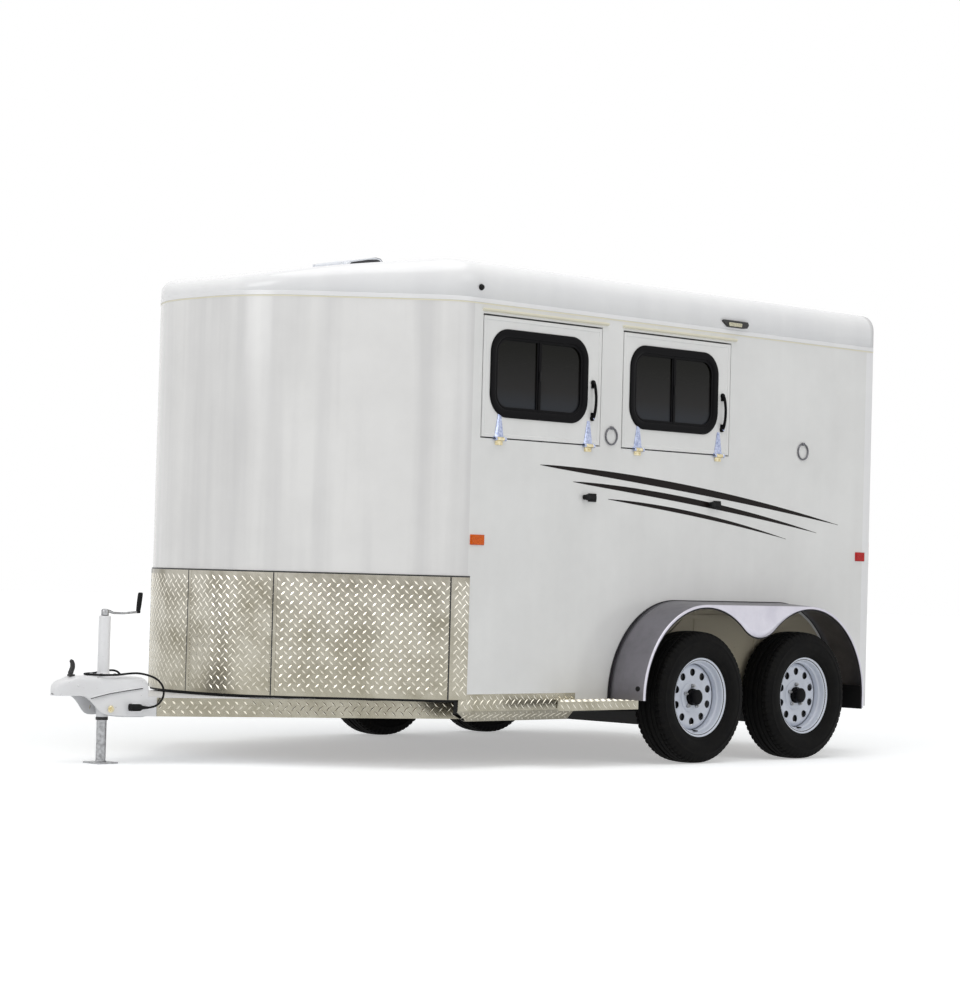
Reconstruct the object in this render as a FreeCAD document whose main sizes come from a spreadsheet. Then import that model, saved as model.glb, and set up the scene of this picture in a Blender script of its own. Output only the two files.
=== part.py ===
import FreeCAD, Part
import math
import os
import re
import types

import Sketcher

# Two-horse slant-load trailer, millimetres.
# +X points forward to the coupler, +Y to the trailer's left side, +Z up.
# The origin is on the ground, on the centre plane, at mid length.

os.makedirs("parts", exist_ok=True)
doc = FreeCAD.newDocument("HorseTrailer")
Vector = FreeCAD.Vector

# Driving sizes: name, value, what it measures
SIZES = (
    # Body shell
    ("half_width", 1064, "centre plane to the outer face of a side wall"),
    ("wall", 38, "thickness of walls, doors and nose"),
    ("rear_x", -2387, "outer face of the rear frame"),
    ("rear_post", 60, "rear frame along the trailer"),
    ("rear_post_width", 72, "rear frame post across the trailer"),
    ("corner_x", 782, "where the side walls end and the nose begins"),
    ("corner_radius", 250, "plan radius of the nose's side corners"),
    ("nose_angle", 43, "plan turn of those corners, degrees"),
    ("nose_radius", 620, "plan radius of the nose's front"),
    ("nose_flat_half", 91, "half width of the nose's flat front"),
    ("nose_bottom", 338, "lower edge of the nose shell"),
    ("wall_bottom", 364, "lower edge of the side walls and top of the frame"),
    ("rear_skirt_bottom", 264, "lower edge of the wall behind the fender"),
    ("rear_skirt_x", -2052, "front end of that low stretch of wall"),
    ("roof_line", 2264, "joint between walls and roof"),
    ("roof_top", 2475, "top of the roof"),
    ("roof_skin", 20, "thickness of the roof's top"),
    ("roof_edge_radius", 95, "rounding of the roof's long edges"),
    ("roof_drop_x", 900, "where the roof starts to fall over the nose"),
    ("roof_drop_angle", 7.5, "slope of that fall, degrees"),
    ("roof_crease_radius", 1000, "softening where the fall starts"),
    ("floor_thick", 38, "floor planks"),
    ("seat_gap", 0.3, "gap between curved faces that seat on each other"),
    ("door_gap", 6, "gap round a door in its opening"),
    # Frame and tongue
    ("rail_height", 100, "main rails and cross members"),
    ("rail_width", 50, "main rails across the trailer"),
    ("rail_front_x", 770, "front ends of the main rails"),
    ("cross_width", 50, "cross members along the trailer"),
    ("tongue_angle", 25, "each tongue rail from the centre plane, degrees"),
    ("tongue_apex_x", 2230, "where the tongue's outer faces are tongue_apex_half out"),
    ("tongue_apex_half", 60, "half width of the tongue there"),
    ("tongue_width", 76, "tongue rail across"),
    ("tongue_top", 318, "top of the tongue rails"),
    ("tongue_bottom", 229, "bottom of the tongue rails"),
    ("tongue_front_x", 2105, "front ends of the tongue rails"),
    ("deck_thick", 5, "plate over the tongue"),
    ("deck_front_x", 2040, "front edge of that plate"),
    ("deck_rear_x", 1240, "rear edge of that plate, under the nose"),
    ("sheet", 3, "tread plate and fender sheet"),
    ("cover_front_x", 1965, "front end of the tongue's tread plate"),
    ("cover_rear_x", 560, "rear end of the tongue's tread plate"),
    # Coupler and jack
    ("coupler_tip_x", 2447, "front of the coupler"),
    ("coupler_top", 417, "top of the coupler"),
    ("coupler_lip", 324, "lower lip round the ball"),
    ("coupler_half", 54, "half width of the coupler's nose"),
    ("coupler_rear_x", 2000, "rear end of the coupler's cheeks"),
    ("coupler_cheek", 6, "thickness of the cheeks"),
    ("coupler_bottom", 222, "bottom of the cheeks"),
    ("ball_x", 2392, "centre of the ball socket"),
    ("ball_radius", 29.6, "bore of the ball socket"),
    ("ball_depth", 62, "depth of the ball socket"),
    ("jack_x", 2148, "jack axis"),
    ("jack_radius", 28.5, "outer tube of the jack"),
    ("jack_top", 700, "top of the outer tube"),
    ("jack_bottom", 205, "bottom of the outer tube"),
    ("leg_radius", 24, "inner tube of the jack"),
    ("leg_gap", 0.5, "radial gap between the jack's tubes"),
    ("leg_top", 420, "top of the inner tube as parked"),
    ("foot_half", 60, "half side of the foot plate"),
    ("foot_thick", 8, "foot plate"),
    ("flange_half", 55, "half side of the jack's mounting flange"),
    ("flange_thick", 6, "jack mounting flange"),
    ("cap_height", 34, "gear cap on the jack"),
    ("crank_length", 200, "jack axis to the grip's axis"),
    ("grip_radius", 12.5, "crank grip"),
    ("grip_length", 100, "crank grip"),
    # Wheels and axles
    ("wheel_sides", 36, "flats round a turned wheel piece"),
    ("wheel_front_x", -732, "front axle"),
    ("wheel_rear_x", -1585, "rear axle"),
    ("wheel_y", 1184, "mid plane of a tyre"),
    ("hub_z", 341.5, "height of the wheel centres"),
    ("tyre_radius", 341.5, "over the tread"),
    ("tyre_half", 101.5, "half of the tyre's section width"),
    ("rim_radius", 190.5, "bead seat"),
    ("flange_radius", 207.5, "rim flange"),
    ("rim_half", 77, "half width over the rim flanges"),
    ("vent_radius", 19, "round holes in the wheel disc"),
    ("vent_circle", 127, "radius of their circle"),
    ("vent_count", 10, "how many there are"),
    ("nut_circle", 57.15, "radius of the lug nut circle"),
    ("hub_radius", 44, "hub barrel"),
    ("hub_out", 84, "hub cap's end from the tyre's mid plane"),
    ("drum_radius", 140, "brake drum"),
    ("spindle_radius", 22, "spindle"),
    ("spindle_gap", 0.05, "radial running gap in the hub"),
    ("axle_half", 38, "half side of the square axle tube"),
    ("axle_lead", 114, "axle tube's centre ahead of the wheel centre"),
    ("arm_thick", 22, "trailing arm"),
    ("arm_half", 36, "half width of the trailing arm's ends"),
    # Fenders and steps
    ("fender_out", 1298, "outer face of the fender"),
    ("fender_radius", 480, "outer face of the fender about a wheel centre"),
    ("fender_flare", 14, "how much larger the fender is at the wall"),
    ("fender_lip", 14, "width of the fender's rim over the wheels"),
    ("fender_dip", 653, "lowest point of the skirt between the wheels"),
    ("fender_front_bottom", 331.3, "front end of the fender, on the running board"),
    ("fender_rear_bottom", 270, "rear end of the fender"),
    ("skirt_bend", 282, "bend of the side skirt"),
    ("skirt_bottom", 229, "bottom of the side skirt"),
    ("skirt_inset", 54, "how far the skirt's bottom is tucked in"),
    ("skirt_front_x", 823, "front end of the side skirt"),
    ("skirt_rear_x", 3, "rear end of the side skirt"),
    ("skirt_chamfer", 115, "slanted front corner of the skirt"),
    ("board_top", 331, "top of the running board"),
    ("board_height", 44, "front face of the running board"),
    ("board_width", 190, "running board out from the wall"),
    ("board_front_x", 324, "front outer corner of the running board"),
    ("board_rear_x", -262, "rear end of the running board"),
    ("guard_top", 936, "top of the gravel guard"),
    # Doors and windows
    ("hatch_width", 843, "drop-down feed door along the trailer"),
    ("hatch_front_x", 717, "front edge of the front feed door"),
    ("hatch_pitch", 1012, "from one feed door to the next"),
    ("hatch_bottom", 1616, "lower edge of a feed door"),
    ("hatch_top", 2208, "upper edge of a feed door"),
    ("window_offset", 49, "door edge to window frame"),
    ("window_length", 697, "window frame along the trailer"),
    ("window_bottom", 1716, "window frame's lower edge"),
    ("window_height", 436, "window frame's height"),
    ("window_radius", 120, "window frame's corners"),
    ("frame_band", 42, "width of a window frame's band"),
    ("frame_proud", 8, "window frame over the panel"),
    ("mullion", 30, "bar between a window's panes"),
    ("glass", 5, "pane thickness"),
    ("glass_depth", 8, "outer face of the panel to the pane"),
    ("hatch_top_gap", 8, "gap over a feed door, for its corner's swing"),
    ("hinge_out", 12, "hinge axis out from a panel's face"),
    ("hinge_drop", 6, "hinge axis from the door's edge"),
    ("knuckle_radius", 10, "hinge barrels"),
    ("pin_radius", 5, "hinge pins"),
    ("pin_gap", 0.05, "radial running gap of the hinge pins"),
    ("knuckle", 50, "fixed barrel of a hinge"),
    ("lug", 13, "each moving barrel of a hinge"),
    ("lug_gap", 0.5, "gap between a hinge's barrels"),
    ("strap", 4, "hinge leaves and straps"),
    ("strap_reach", 125, "strap along the door from the hinge axis"),
    ("leaf_reach", 38, "fixed leaf from the hinge axis"),
    ("handle_out", 38, "grab handle out from the door"),
    ("handle_bar", 14, "section of the grab handle"),
    ("rear_door_bottom", 408, "lower edge of a rear door"),
    ("rear_door_top", 2218, "upper edge of a rear door"),
    ("tack_door_rear_x", 0, "rear edge of the dressing room door"),
    ("tack_door_width", 640, "dressing room door"),
    ("tack_door_bottom", 430, "its lower edge"),
    ("tack_door_top", 2180, "its upper edge"),
    ("slant", 25, "bulkhead from square across, degrees"),
    ("bulkhead_x", 755, "left end of the bulkhead"),
    ("bulkhead_thick", 25, "bulkhead panel"),
    # Roof vent
    ("vent_front_x", 790, "front of the roof vent"),
    ("vent_length", 255, "roof vent along the trailer"),
    ("vent_half", 130, "half width of the roof vent"),
    ("vent_curb", 26, "height of the vent's curb"),
    ("vent_wall", 18, "thickness of the vent's curb"),
    ("vent_front_height", 24, "vent lid at its front"),
    ("vent_rear_height", 70, "vent lid at its rear"),
    ("vent_skin", 5, "wall of the vent's lid"),
    ("vent_pivot_x", 797, "hinge axis of the vent's lid"),
    ("vent_pivot_rise", 34.5, "the same, over the roof"),
    # Lead to the towing vehicle
    ("lead_radius", 5, "trailer lead"),
    ("plug_radius", 17, "plug of the trailer lead"),
    ("plug_length", 80, "the same, end to end"),
    ("clip_plate", 4, "sheet of the plug's parking clip"),
)

sheet = doc.addObject("Spreadsheet::Sheet", "Sizes")
for row, (alias, number, note) in enumerate(SIZES, 1):
    sheet.set("A%d" % row, note)
    sheet.set("B%d" % row, str(number))
    sheet.setAlias("B%d" % row, alias)
doc.recompute()
size = types.SimpleNamespace(**{alias: getattr(sheet, alias) for alias, _, _ in SIZES})

WORD = re.compile(r"[a-z][a-z_]*")
FUNCTIONS = {"sin", "cos", "tan", "sqrt"}
parts = {}


def linked(text):
    """The expression with every size's name pointing at the sheet."""
    return WORD.sub(lambda word: word.group() if word.group() in FUNCTIONS else "Sizes." + word.group(), str(text))


def block(label, x, y, z):
    """Box between two expressions along each axis."""
    item = doc.addObject("Part::Box", label)
    for axis, side, (low, high) in zip("xyz", ("Length", "Width", "Height"), (x, y, z)):
        item.setExpression("Placement.Base." + axis, linked(low))
        item.setExpression(side, linked("(%s) - (%s)" % (high, low)))
    return item


ALONG = {
    "x": FreeCAD.Rotation(Vector(0, 1, 0), 90),
    "y": FreeCAD.Rotation(Vector(1, 0, 0), -90),
    "z": FreeCAD.Rotation(),
}


def rod(label, axis, span, centre, radius):
    """Cylinder along an axis; centre gives the other two coordinates in order."""
    item = doc.addObject("Part::Cylinder", label)
    item.Placement = FreeCAD.Placement(Vector(), ALONG[axis])
    places = dict(zip([name for name in "xyz" if name != axis], centre))
    places[axis] = span[0]
    for name, text in places.items():
        item.setExpression("Placement.Base." + name, linked(text))
    item.setExpression("Radius", linked(radius))
    item.setExpression("Height", linked("(%s) - (%s)" % (span[1], span[0])))
    return item


PLANES = {
    "xy": (FreeCAD.Rotation(), "z", Vector(0, 0, 1)),
    "xz": (FreeCAD.Rotation(Vector(1, 0, 0), 90), "y", Vector(0, 1, 0)),
    "yz": (FreeCAD.Rotation(Vector(1, 1, 1), 120), "x", Vector(1, 0, 0)),
}


def prism(label, plane, corners, span):
    """Polygon of (u, v) expressions in a plane, carried from span[0] to span[1]."""
    turn, axis, normal = PLANES[plane]
    sketch = doc.addObject("Sketcher::SketchObject", label + "_outline")
    sketch.Placement = FreeCAD.Placement(Vector(), turn)
    count = len(corners)
    for index in range(count):
        start = Vector(10 * math.cos(index), 10 * math.sin(index), 0)
        end = Vector(10 * math.cos(index + 1), 10 * math.sin(index + 1), 0)
        sketch.addGeometry(Part.LineSegment(start, end), False)
    for index in range(count):
        sketch.addConstraint(Sketcher.Constraint("Coincident", index, 2, (index + 1) % count, 1))
    for index, corner in enumerate(corners):
        for kind, text in zip(("DistanceX", "DistanceY"), corner):
            number = sketch.addConstraint(Sketcher.Constraint(kind, -1, 1, index, 1, 1.0))
            sketch.setExpression("Constraints[%d]" % number, linked(text))
    sketch.setExpression("Placement.Base." + axis, linked(span[0]))
    item = doc.addObject("Part::Extrusion", label)
    item.Base = sketch
    item.DirMode = "Custom"
    item.Dir = normal
    item.Solid = True
    item.setExpression("LengthFwd", linked("(%s) - (%s)" % (span[1], span[0])))
    return item


def raised(label, face, low, height):
    """A flat face in the ground plane, lifted to an expression and given a height."""
    base = doc.addObject("Part::Feature", label + "_plan")
    base.Shape = face
    base.setExpression("Placement.Base.z", linked(low))
    item = doc.addObject("Part::Extrusion", label)
    item.Base = base
    item.DirMode = "Custom"
    item.Dir = Vector(0, 0, 1)
    item.Solid = True
    item.setExpression("LengthFwd", linked(height))
    return item


def fused(label, pieces):
    item = doc.addObject("Part::MultiFuse", label)
    item.Shapes = pieces
    return item


def grouped(label, pieces):
    """Solids that don't touch, kept as one piece."""
    item = doc.addObject("Part::Compound", label)
    item.Links = pieces
    return item


def carved(label, base, tools):
    item = doc.addObject("Part::Cut", label)
    item.Base = base
    item.Tool = tools[0] if len(tools) == 1 else grouped(label + "_tools", tools)
    return item


def mirrored(label, source):
    """The same piece on the other side of the centre plane."""
    item = doc.addObject("Part::Mirroring", label)
    item.Source = source
    item.Normal = Vector(0, 1, 0)
    return item


def barrel(label, axis, span, centre, radius):
    """Hinge barrel: a bar with eight flats about a hinge axis."""
    corners = []
    for number in range(8):
        turn = "%g" % (22.5 + 45 * number)
        corners.append(("(%s) + (%s) * cos(%s)" % (centre[0], radius, turn),
                        "(%s) + (%s) * sin(%s)" % (centre[1], radius, turn)))
    item = prism(label, {"x": "yz", "z": "xy"}[axis], corners, span)
    return item


def rounded(label, source, axis, radius):
    """Box with its four edges along an axis rounded."""
    doc.recompute()
    item = doc.addObject("Part::Fillet", label)
    item.Base = source
    direction = Vector(*[float(axis == name) for name in "xyz"])
    picked = []
    for number, edge in enumerate(source.Shape.Edges, 1):
        run = edge.Vertexes[1].Point - edge.Vertexes[0].Point
        if abs(run.normalize() * direction) > 0.99:
            picked.append((number, radius, radius))
    item.Edges = picked
    return item


def keep(node, item):
    """Gives a finished piece its node name."""
    item.Label = node
    parts[node] = item
    return item


def arc(centre, radius, start, end):
    """Plan arc between two headings in degrees."""
    points = []
    for share in (0.0, 0.5, 1.0):
        heading = math.radians(start + (end - start) * share)
        points.append(centre + Vector(radius * math.cos(heading), radius * math.sin(heading), 0))
    return Part.Arc(*points).toShape()


def line(start, end):
    return Part.LineSegment(start, end).toShape()


def nose_side(inset):
    """Plan edges of the nose's left half from the side wall to the centre plane."""
    lean = math.radians(size.nose_angle)
    corner = Vector(size.corner_x, size.half_width - size.corner_radius, 0)
    outward = Vector(math.sin(lean), math.cos(lean), 0)
    forward = Vector(math.cos(lean), -math.sin(lean), 0)
    reach = corner.y + (size.corner_radius - size.nose_radius) * outward.y - size.nose_flat_half
    middle = corner + outward * (size.corner_radius - size.nose_radius) + forward * (reach / math.sin(lean))
    first = arc(corner, size.corner_radius - inset, 90, 90 - size.nose_angle)
    last = arc(middle, size.nose_radius - inset, 90 - size.nose_angle, 0)
    tip = last.Vertexes[-1].Point
    bridge = line(corner + outward * (size.corner_radius - inset), middle + outward * (size.nose_radius - inset))
    return [first, bridge, last, line(Vector(middle.x + size.nose_radius - inset, middle.y, 0),
                                      Vector(middle.x + size.nose_radius - inset, 0, 0))]


def nose_path(inset, start_x):
    """Whole plan line of the nose, both ends carried straight back to start_x."""
    left = nose_side(inset)
    if start_x < size.corner_x:
        half = size.half_width - inset
        left.insert(0, line(Vector(start_x, half, 0), Vector(size.corner_x, half, 0)))
    right = [edge.mirror(Vector(), Vector(0, 1, 0)) for edge in left]
    return left + right


def plan_face(inset, start_x):
    """Face inside the body's plan outline, closed square at start_x."""
    edges = nose_path(inset, start_x)
    half = size.half_width - inset
    edges.append(line(Vector(start_x, -half, 0), Vector(start_x, half, 0)))
    return Part.Face(Part.Wire(Part.__sortEdges__(edges)))


def plan_band(outer, inner, start_x):
    """Face between two insets of the nose's plan line, cut square at start_x."""
    edges = nose_path(outer, start_x) + nose_path(inner, start_x)
    for side in (1, -1):
        edges.append(line(Vector(start_x, side * (size.half_width - outer), 0),
                          Vector(start_x, side * (size.half_width - inner), 0)))
    return Part.Face(Part.Wire(Part.__sortEdges__(edges)))


# Floor, frame and tongue
keep("floor", raised("floor_slab", plan_face(size.wall + size.seat_gap, size.rear_x + size.rear_post),
                     "wall_bottom", "floor_thick"))

RAIL_IN = "half_width - wall - rail_width"
RAIL_OUT = "half_width - wall"
RAIL_SPAN = ("wall_bottom - rail_height", "wall_bottom")
rail = block("rail_left", ("rear_x + rear_post", "rail_front_x"), (RAIL_IN, RAIL_OUT), RAIL_SPAN)
keep("main_rails", grouped("rails", [rail, mirrored("rail_right", rail)]))

# Cross members: centre along the trailer; the front ones are shallow and lie on the tongue
DEEP_MEMBERS = (-2302, -1990, -1180, -340, 60)
SHALLOW_MEMBERS = (420, 745, 1100, 1400)
members = []
for index, place in enumerate(DEEP_MEMBERS):
    members.append(block("deep_member_%d" % index, ("%d - cross_width / 2" % place, "%d + cross_width / 2" % place),
                         ("-(%s)" % RAIL_IN, RAIL_IN), ("wall_bottom - rail_height * 0.8", "wall_bottom")))
SHALLOW_HALF = {420: RAIL_IN, 745: RAIL_IN, 1100: "780", 1400: "500"}
for index, place in enumerate(SHALLOW_MEMBERS):
    half = SHALLOW_HALF[place]
    members.append(block("shallow_member_%d" % index, ("%d - cross_width / 2" % place, "%d + cross_width / 2" % place),
                         ("-(%s)" % half, half), ("tongue_top + deck_thick", "wall_bottom")))
keep("cross_members", grouped("members", members))

TONGUE_OUT = "tongue_apex_half + (tongue_apex_x - (%s)) * tan(tongue_angle)"
TONGUE_ACROSS = "tongue_width / cos(tongue_angle)"


def tongue_y(place, inset="0"):
    """Half width of the tongue at a place along the trailer."""
    return (TONGUE_OUT % place) + " - (%s) / cos(tongue_angle)" % inset


def tongue_x(half, inset="0"):
    """Where the tongue's face, moved in by inset, is that far from the centre plane."""
    return "tongue_apex_x - (%s + (%s) / cos(tongue_angle) - tongue_apex_half) / tan(tongue_angle)" % (half, inset)


tongue_rail = prism("tongue_rail", "xy", [
    ("tongue_front_x", tongue_y("tongue_front_x")),
    (tongue_x(RAIL_IN), RAIL_IN),
    (tongue_x(RAIL_IN, "tongue_width"), RAIL_IN),
    ("tongue_front_x", tongue_y("tongue_front_x", "tongue_width")),
], ("tongue_bottom", "tongue_top"))
deck = prism("tongue_deck", "xy", [
    ("deck_front_x", tongue_y("deck_front_x")),
    ("deck_rear_x", tongue_y("deck_rear_x")),
    ("deck_rear_x", "-(%s)" % tongue_y("deck_rear_x")),
    ("deck_front_x", "-(%s)" % tongue_y("deck_front_x")),
], ("tongue_top", "tongue_top + deck_thick"))
packers = []
for index, place in enumerate((420, 745, 1100)):
    pad = prism("tongue_pad_%d" % index, "xy", [
        ("%d + cross_width / 2" % place, tongue_y("%d + cross_width / 2" % place)),
        ("%d - cross_width / 2" % place, tongue_y("%d - cross_width / 2" % place)),
        ("%d - cross_width / 2" % place, tongue_y("%d - cross_width / 2" % place, "tongue_width")),
        ("%d + cross_width / 2" % place, tongue_y("%d + cross_width / 2" % place, "tongue_width")),
    ], ("tongue_top", "tongue_top + deck_thick"))
    packers += [pad, mirrored("tongue_pad_right_%d" % index, pad)]
keep("tongue_frame", fused("tongue_weldment", [tongue_rail, mirrored("tongue_rail_right", tongue_rail), deck] + packers))

cover = prism("tongue_cover_left", "xy", [
    ("cover_front_x", tongue_y("cover_front_x")),
    ("cover_front_x", tongue_y("cover_front_x", "-sheet")),
    ("cover_rear_x", tongue_y("cover_rear_x", "-sheet")),
    ("cover_rear_x", tongue_y("cover_rear_x")),
], ("tongue_bottom", "tongue_top"))
keep("tongue_covers", grouped("tongue_cover_pair", [cover, mirrored("tongue_cover_right", cover)]))

# Coupler: a rounded nose over the ball, and cheeks that clasp the tongue rails
CHEEK_X = "tongue_apex_x"
CHEEK_OUT = "-(coupler_cheek + seat_gap)"
nose_box = block("coupler_nose_box", ("tongue_apex_x - 40", "coupler_tip_x"), ("-coupler_half", "coupler_half"),
                 ("coupler_lip", "coupler_top"))
coupler_nose = rounded("coupler_nose", nose_box, "z", size.coupler_half - 4)
cheeks = prism("coupler_cheeks", "xy", [
    ("tongue_apex_x + 70", "coupler_half + 4"),
    (CHEEK_X, tongue_y(CHEEK_X, CHEEK_OUT)),
    ("coupler_rear_x", tongue_y("coupler_rear_x", CHEEK_OUT)),
    ("coupler_rear_x", "-(%s)" % tongue_y("coupler_rear_x", CHEEK_OUT)),
    (CHEEK_X, "-(%s)" % tongue_y(CHEEK_X, CHEEK_OUT)),
    ("tongue_apex_x + 70", "-(coupler_half + 4)"),
], ("coupler_bottom", "coupler_top"))
cheek_room = prism("coupler_room", "xy", [
    ("tongue_apex_x - 6", tongue_y("tongue_apex_x - 6", "-seat_gap")),
    ("coupler_rear_x - 1", tongue_y("coupler_rear_x - 1", "-seat_gap")),
    ("coupler_rear_x - 1", "-(%s)" % tongue_y("coupler_rear_x - 1", "-seat_gap")),
    ("tongue_apex_x - 6", "-(%s)" % tongue_y("tongue_apex_x - 6", "-seat_gap")),
], ("coupler_bottom - 1", "coupler_top - coupler_cheek * 2"))
under_nose = prism("coupler_under_cut", "xz", [
    ("tongue_apex_x + 71", "coupler_bottom - 1"),
    ("tongue_apex_x - 25", "coupler_bottom - 1"),
    ("tongue_apex_x + 20", "coupler_bottom + 22"),
    ("tongue_apex_x + 71", "coupler_lip - 34"),
], ("-150", "150"))
under_nose.Dir = Vector(0, -1, 0)
under_nose.setExpression("LengthFwd", "300")
rear_slope = prism("coupler_rear_cut", "xz", [
    ("coupler_rear_x - 1", "coupler_top + 1"),
    ("coupler_rear_x + 12", "coupler_top + 1"),
    ("coupler_rear_x + 30", "coupler_top - 60"),
    ("coupler_rear_x - 1", "tongue_top + deck_thick + 2"),
], ("-260", "260"))
socket = rod("ball_socket", "z", ("coupler_lip - 1", "coupler_lip + ball_depth"), ("ball_x", "0"), "ball_radius")
jack_hole = rod("jack_hole", "z", ("coupler_bottom - 1", "coupler_top + 1"), ("jack_x", "0"), "jack_radius + seat_gap")
keep("coupler", carved("coupler_body", fused("coupler_blank", [coupler_nose, cheeks]),
                       [cheek_room, under_nose, rear_slope, socket, jack_hole]))

latch_post = block("latch_post", ("coupler_tip_x - 128", "coupler_tip_x - 104"), ("-9", "9"),
                   ("coupler_top", "coupler_top + 52"))
latch_top = block("latch_top", ("coupler_tip_x - 124", "coupler_tip_x - 98"), ("-13", "13"),
                  ("coupler_top + 48", "coupler_top + 84"))
keep("coupler_latch", fused("latch", [latch_post, latch_top]))

# Jack
jack_outer = rod("jack_outer", "z", ("jack_bottom", "jack_top"), ("jack_x", "0"), "jack_radius")
jack_flange = block("jack_flange", ("jack_x - flange_half", "jack_x + flange_half"), ("-flange_half", "flange_half"),
                    ("coupler_top", "coupler_top + flange_thick"))
jack_bore = rod("jack_bore", "z", ("jack_bottom - 1", "jack_top - 12"), ("jack_x", "0"), "leg_radius + leg_gap")
crank_bore = rod("crank_bore", "z", ("jack_top - 13", "jack_top + 1"), ("jack_x", "0"), "pin_radius + 3 + pin_gap")
keep("jack_tube", carved("jack_body", fused("jack_blank", [jack_outer, jack_flange]), [jack_bore, crank_bore]))
leg = rod("leg_tube", "z", ("foot_thick", "leg_top"), ("jack_x", "0"), "leg_radius")
foot = block("foot_plate", ("jack_x - foot_half", "jack_x + foot_half"), ("-foot_half", "foot_half"), ("0", "foot_thick"))
keep("jack_leg", fused("leg", [leg, foot]))
cap = rod("crank_cap", "z", ("jack_top + 1", "jack_top + cap_height"), ("jack_x", "0"), "jack_radius - 10")
stub = rod("crank_stub", "z", ("jack_top - 11", "jack_top + 2"), ("jack_x", "0"), "pin_radius + 3")
arm = block("crank_arm", ("jack_x - crank_length", "jack_x"), ("-10", "10"), ("jack_top + 14", "jack_top + 22"))
grip = rod("crank_grip", "z", ("jack_top + 14", "jack_top + 14 + grip_length"), ("jack_x - crank_length", "0"), "grip_radius")
keep("jack_crank", fused("crank", [cap, stub, arm, grip]))

# Side walls with their door openings
HATCHES = (("front", "hatch_front_x"), ("rear", "hatch_front_x - hatch_pitch"))
WALL_Y = ("half_width - wall", "half_width")


def side_wall(label):
    upper = block(label + "_upper", ("rear_x + rear_post", "corner_x"), WALL_Y, ("wall_bottom", "roof_line"))
    lower = block(label + "_lower", ("rear_x + rear_post", "rear_skirt_x"), WALL_Y,
                  ("rear_skirt_bottom", "wall_bottom + 1"))
    return fused(label + "_blank", [upper, lower])


CUT_Y = ("half_width - wall - 1", "half_width + 1")
holes = []
for name, front in HATCHES:
    holes.append(block("hatch_hole_" + name, (front + " - hatch_width - door_gap", front + " + door_gap"), CUT_Y,
                       ("hatch_bottom - door_gap", "hatch_top + hatch_top_gap")))
keep("side_wall_left", carved("left_wall", side_wall("left_side"), holes))


def window(label, axis, along, up, face, out, radius, band):
    """Framed pane in a panel: the hole's cutter, the frame and the pane.

    axis is the panel's normal, out its sign; along and up are the frame's limits.
    face is the panel's outer face; the frame covers the hole's edge and the pane fills it.
    """
    def slab(name, inset, low, high):
        sides = [("%s + %s" % (along[0], inset), "%s - (%s)" % (along[1], inset)),
                 ("%s + %s" % (up[0], inset), "%s - (%s)" % (up[1], inset))]
        depth = ("%s + %s" % (face, low), "%s + %s" % (face, high))
        if out < 0:
            depth = ("%s - (%s)" % (face, high), "%s - (%s)" % (face, low))
        order = [sides[0], depth, sides[1]] if axis == "y" else [depth, sides[0], sides[1]]
        return block(name, *order)

    half = band / 2
    hole = rounded(label + "_hole", slab(label + "_hole_box", str(half), "-(wall + 1)", "1"), axis, radius - half)
    flange = rounded(label + "_flange", slab(label + "_flange_box", "0", "0", "frame_proud"), axis, radius)
    inner = rounded(label + "_inner", slab(label + "_inner_box", str(band), "-1", "frame_proud + 1"),
                    axis, radius - band)
    middle = "((%s) + (%s)) / 2" % along
    bar_along = (middle + " - mullion / 2", middle + " + mullion / 2")
    depth = (face + " - glass_depth", face + " + 5") if out > 0 else (face + " - 5", face + " + glass_depth")
    upright = ("%s + %s" % (up[0], band - 1), "%s - %s" % (up[1], band - 1))
    order = [bar_along, depth, upright] if axis == "y" else [depth, bar_along, upright]
    bar = block(label + "_mullion", *order)
    ring = carved(label + "_ring", flange, [inner])
    pane = rounded(label + "_pane", slab(label + "_pane_box", "%s + seat_gap" % half, "-(glass_depth + glass)",
                                         "-glass_depth"), axis, radius - half)
    return hole, fused(label + "_frame", [ring, bar]), pane


def hatch_hinge(label, place):
    """Strap hinge under a feed door: the fixed leaf, and the strap with lugs and pin."""
    axis_y = "half_width + hinge_out"
    axis_z = "hatch_bottom - hinge_drop"
    low, high = "%s - knuckle / 2" % place, "%s + knuckle / 2" % place
    knuckle = barrel(label + "_barrel", "x", (low, high), (axis_y, axis_z), "knuckle_radius")
    leaf = block(label + "_leaf", (low, high), ("half_width", "half_width + strap"), (axis_z + " - leaf_reach", axis_z))
    bore = rod(label + "_bore", "x", (low + " - 1", high + " + 1"), (axis_y, axis_z), "pin_radius + pin_gap")
    fixed = carved(label + "_fixed", fused(label + "_fixed_blank", [knuckle, leaf]), [bore])
    pieces = [rod(label + "_pin", "x", (low + " - lug / 2", high + " + lug / 2"), (axis_y, axis_z), "pin_radius")]
    for side, (start, end) in (("a", (low + " - lug_gap - lug", low + " - lug_gap")),
                               ("b", (high + " + lug_gap", high + " + lug_gap + lug"))):
        pieces.append(barrel(label + "_lug_" + side, "x", (start, end), (axis_y, axis_z), "knuckle_radius"))
        pieces.append(block(label + "_web_" + side, (start, end), ("half_width + seat_gap", "half_width + strap"),
                            (axis_z, "hatch_bottom + 12")))
    pieces.append(prism(label + "_strap", "xz", [
        (low + " - lug_gap - lug", "hatch_bottom + 10"),
        (high + " + lug_gap + lug", "hatch_bottom + 10"),
        (place + " + 14", axis_z + " + strap_reach"),
        (place + " - 14", axis_z + " + strap_reach"),
    ], ("half_width + strap", "half_width")))
    pieces[-1].Dir = Vector(0, -1, 0)
    pieces[-1].setExpression("LengthFwd", linked("strap"))
    return fixed, fused(label + "_moving", pieces)


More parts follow.
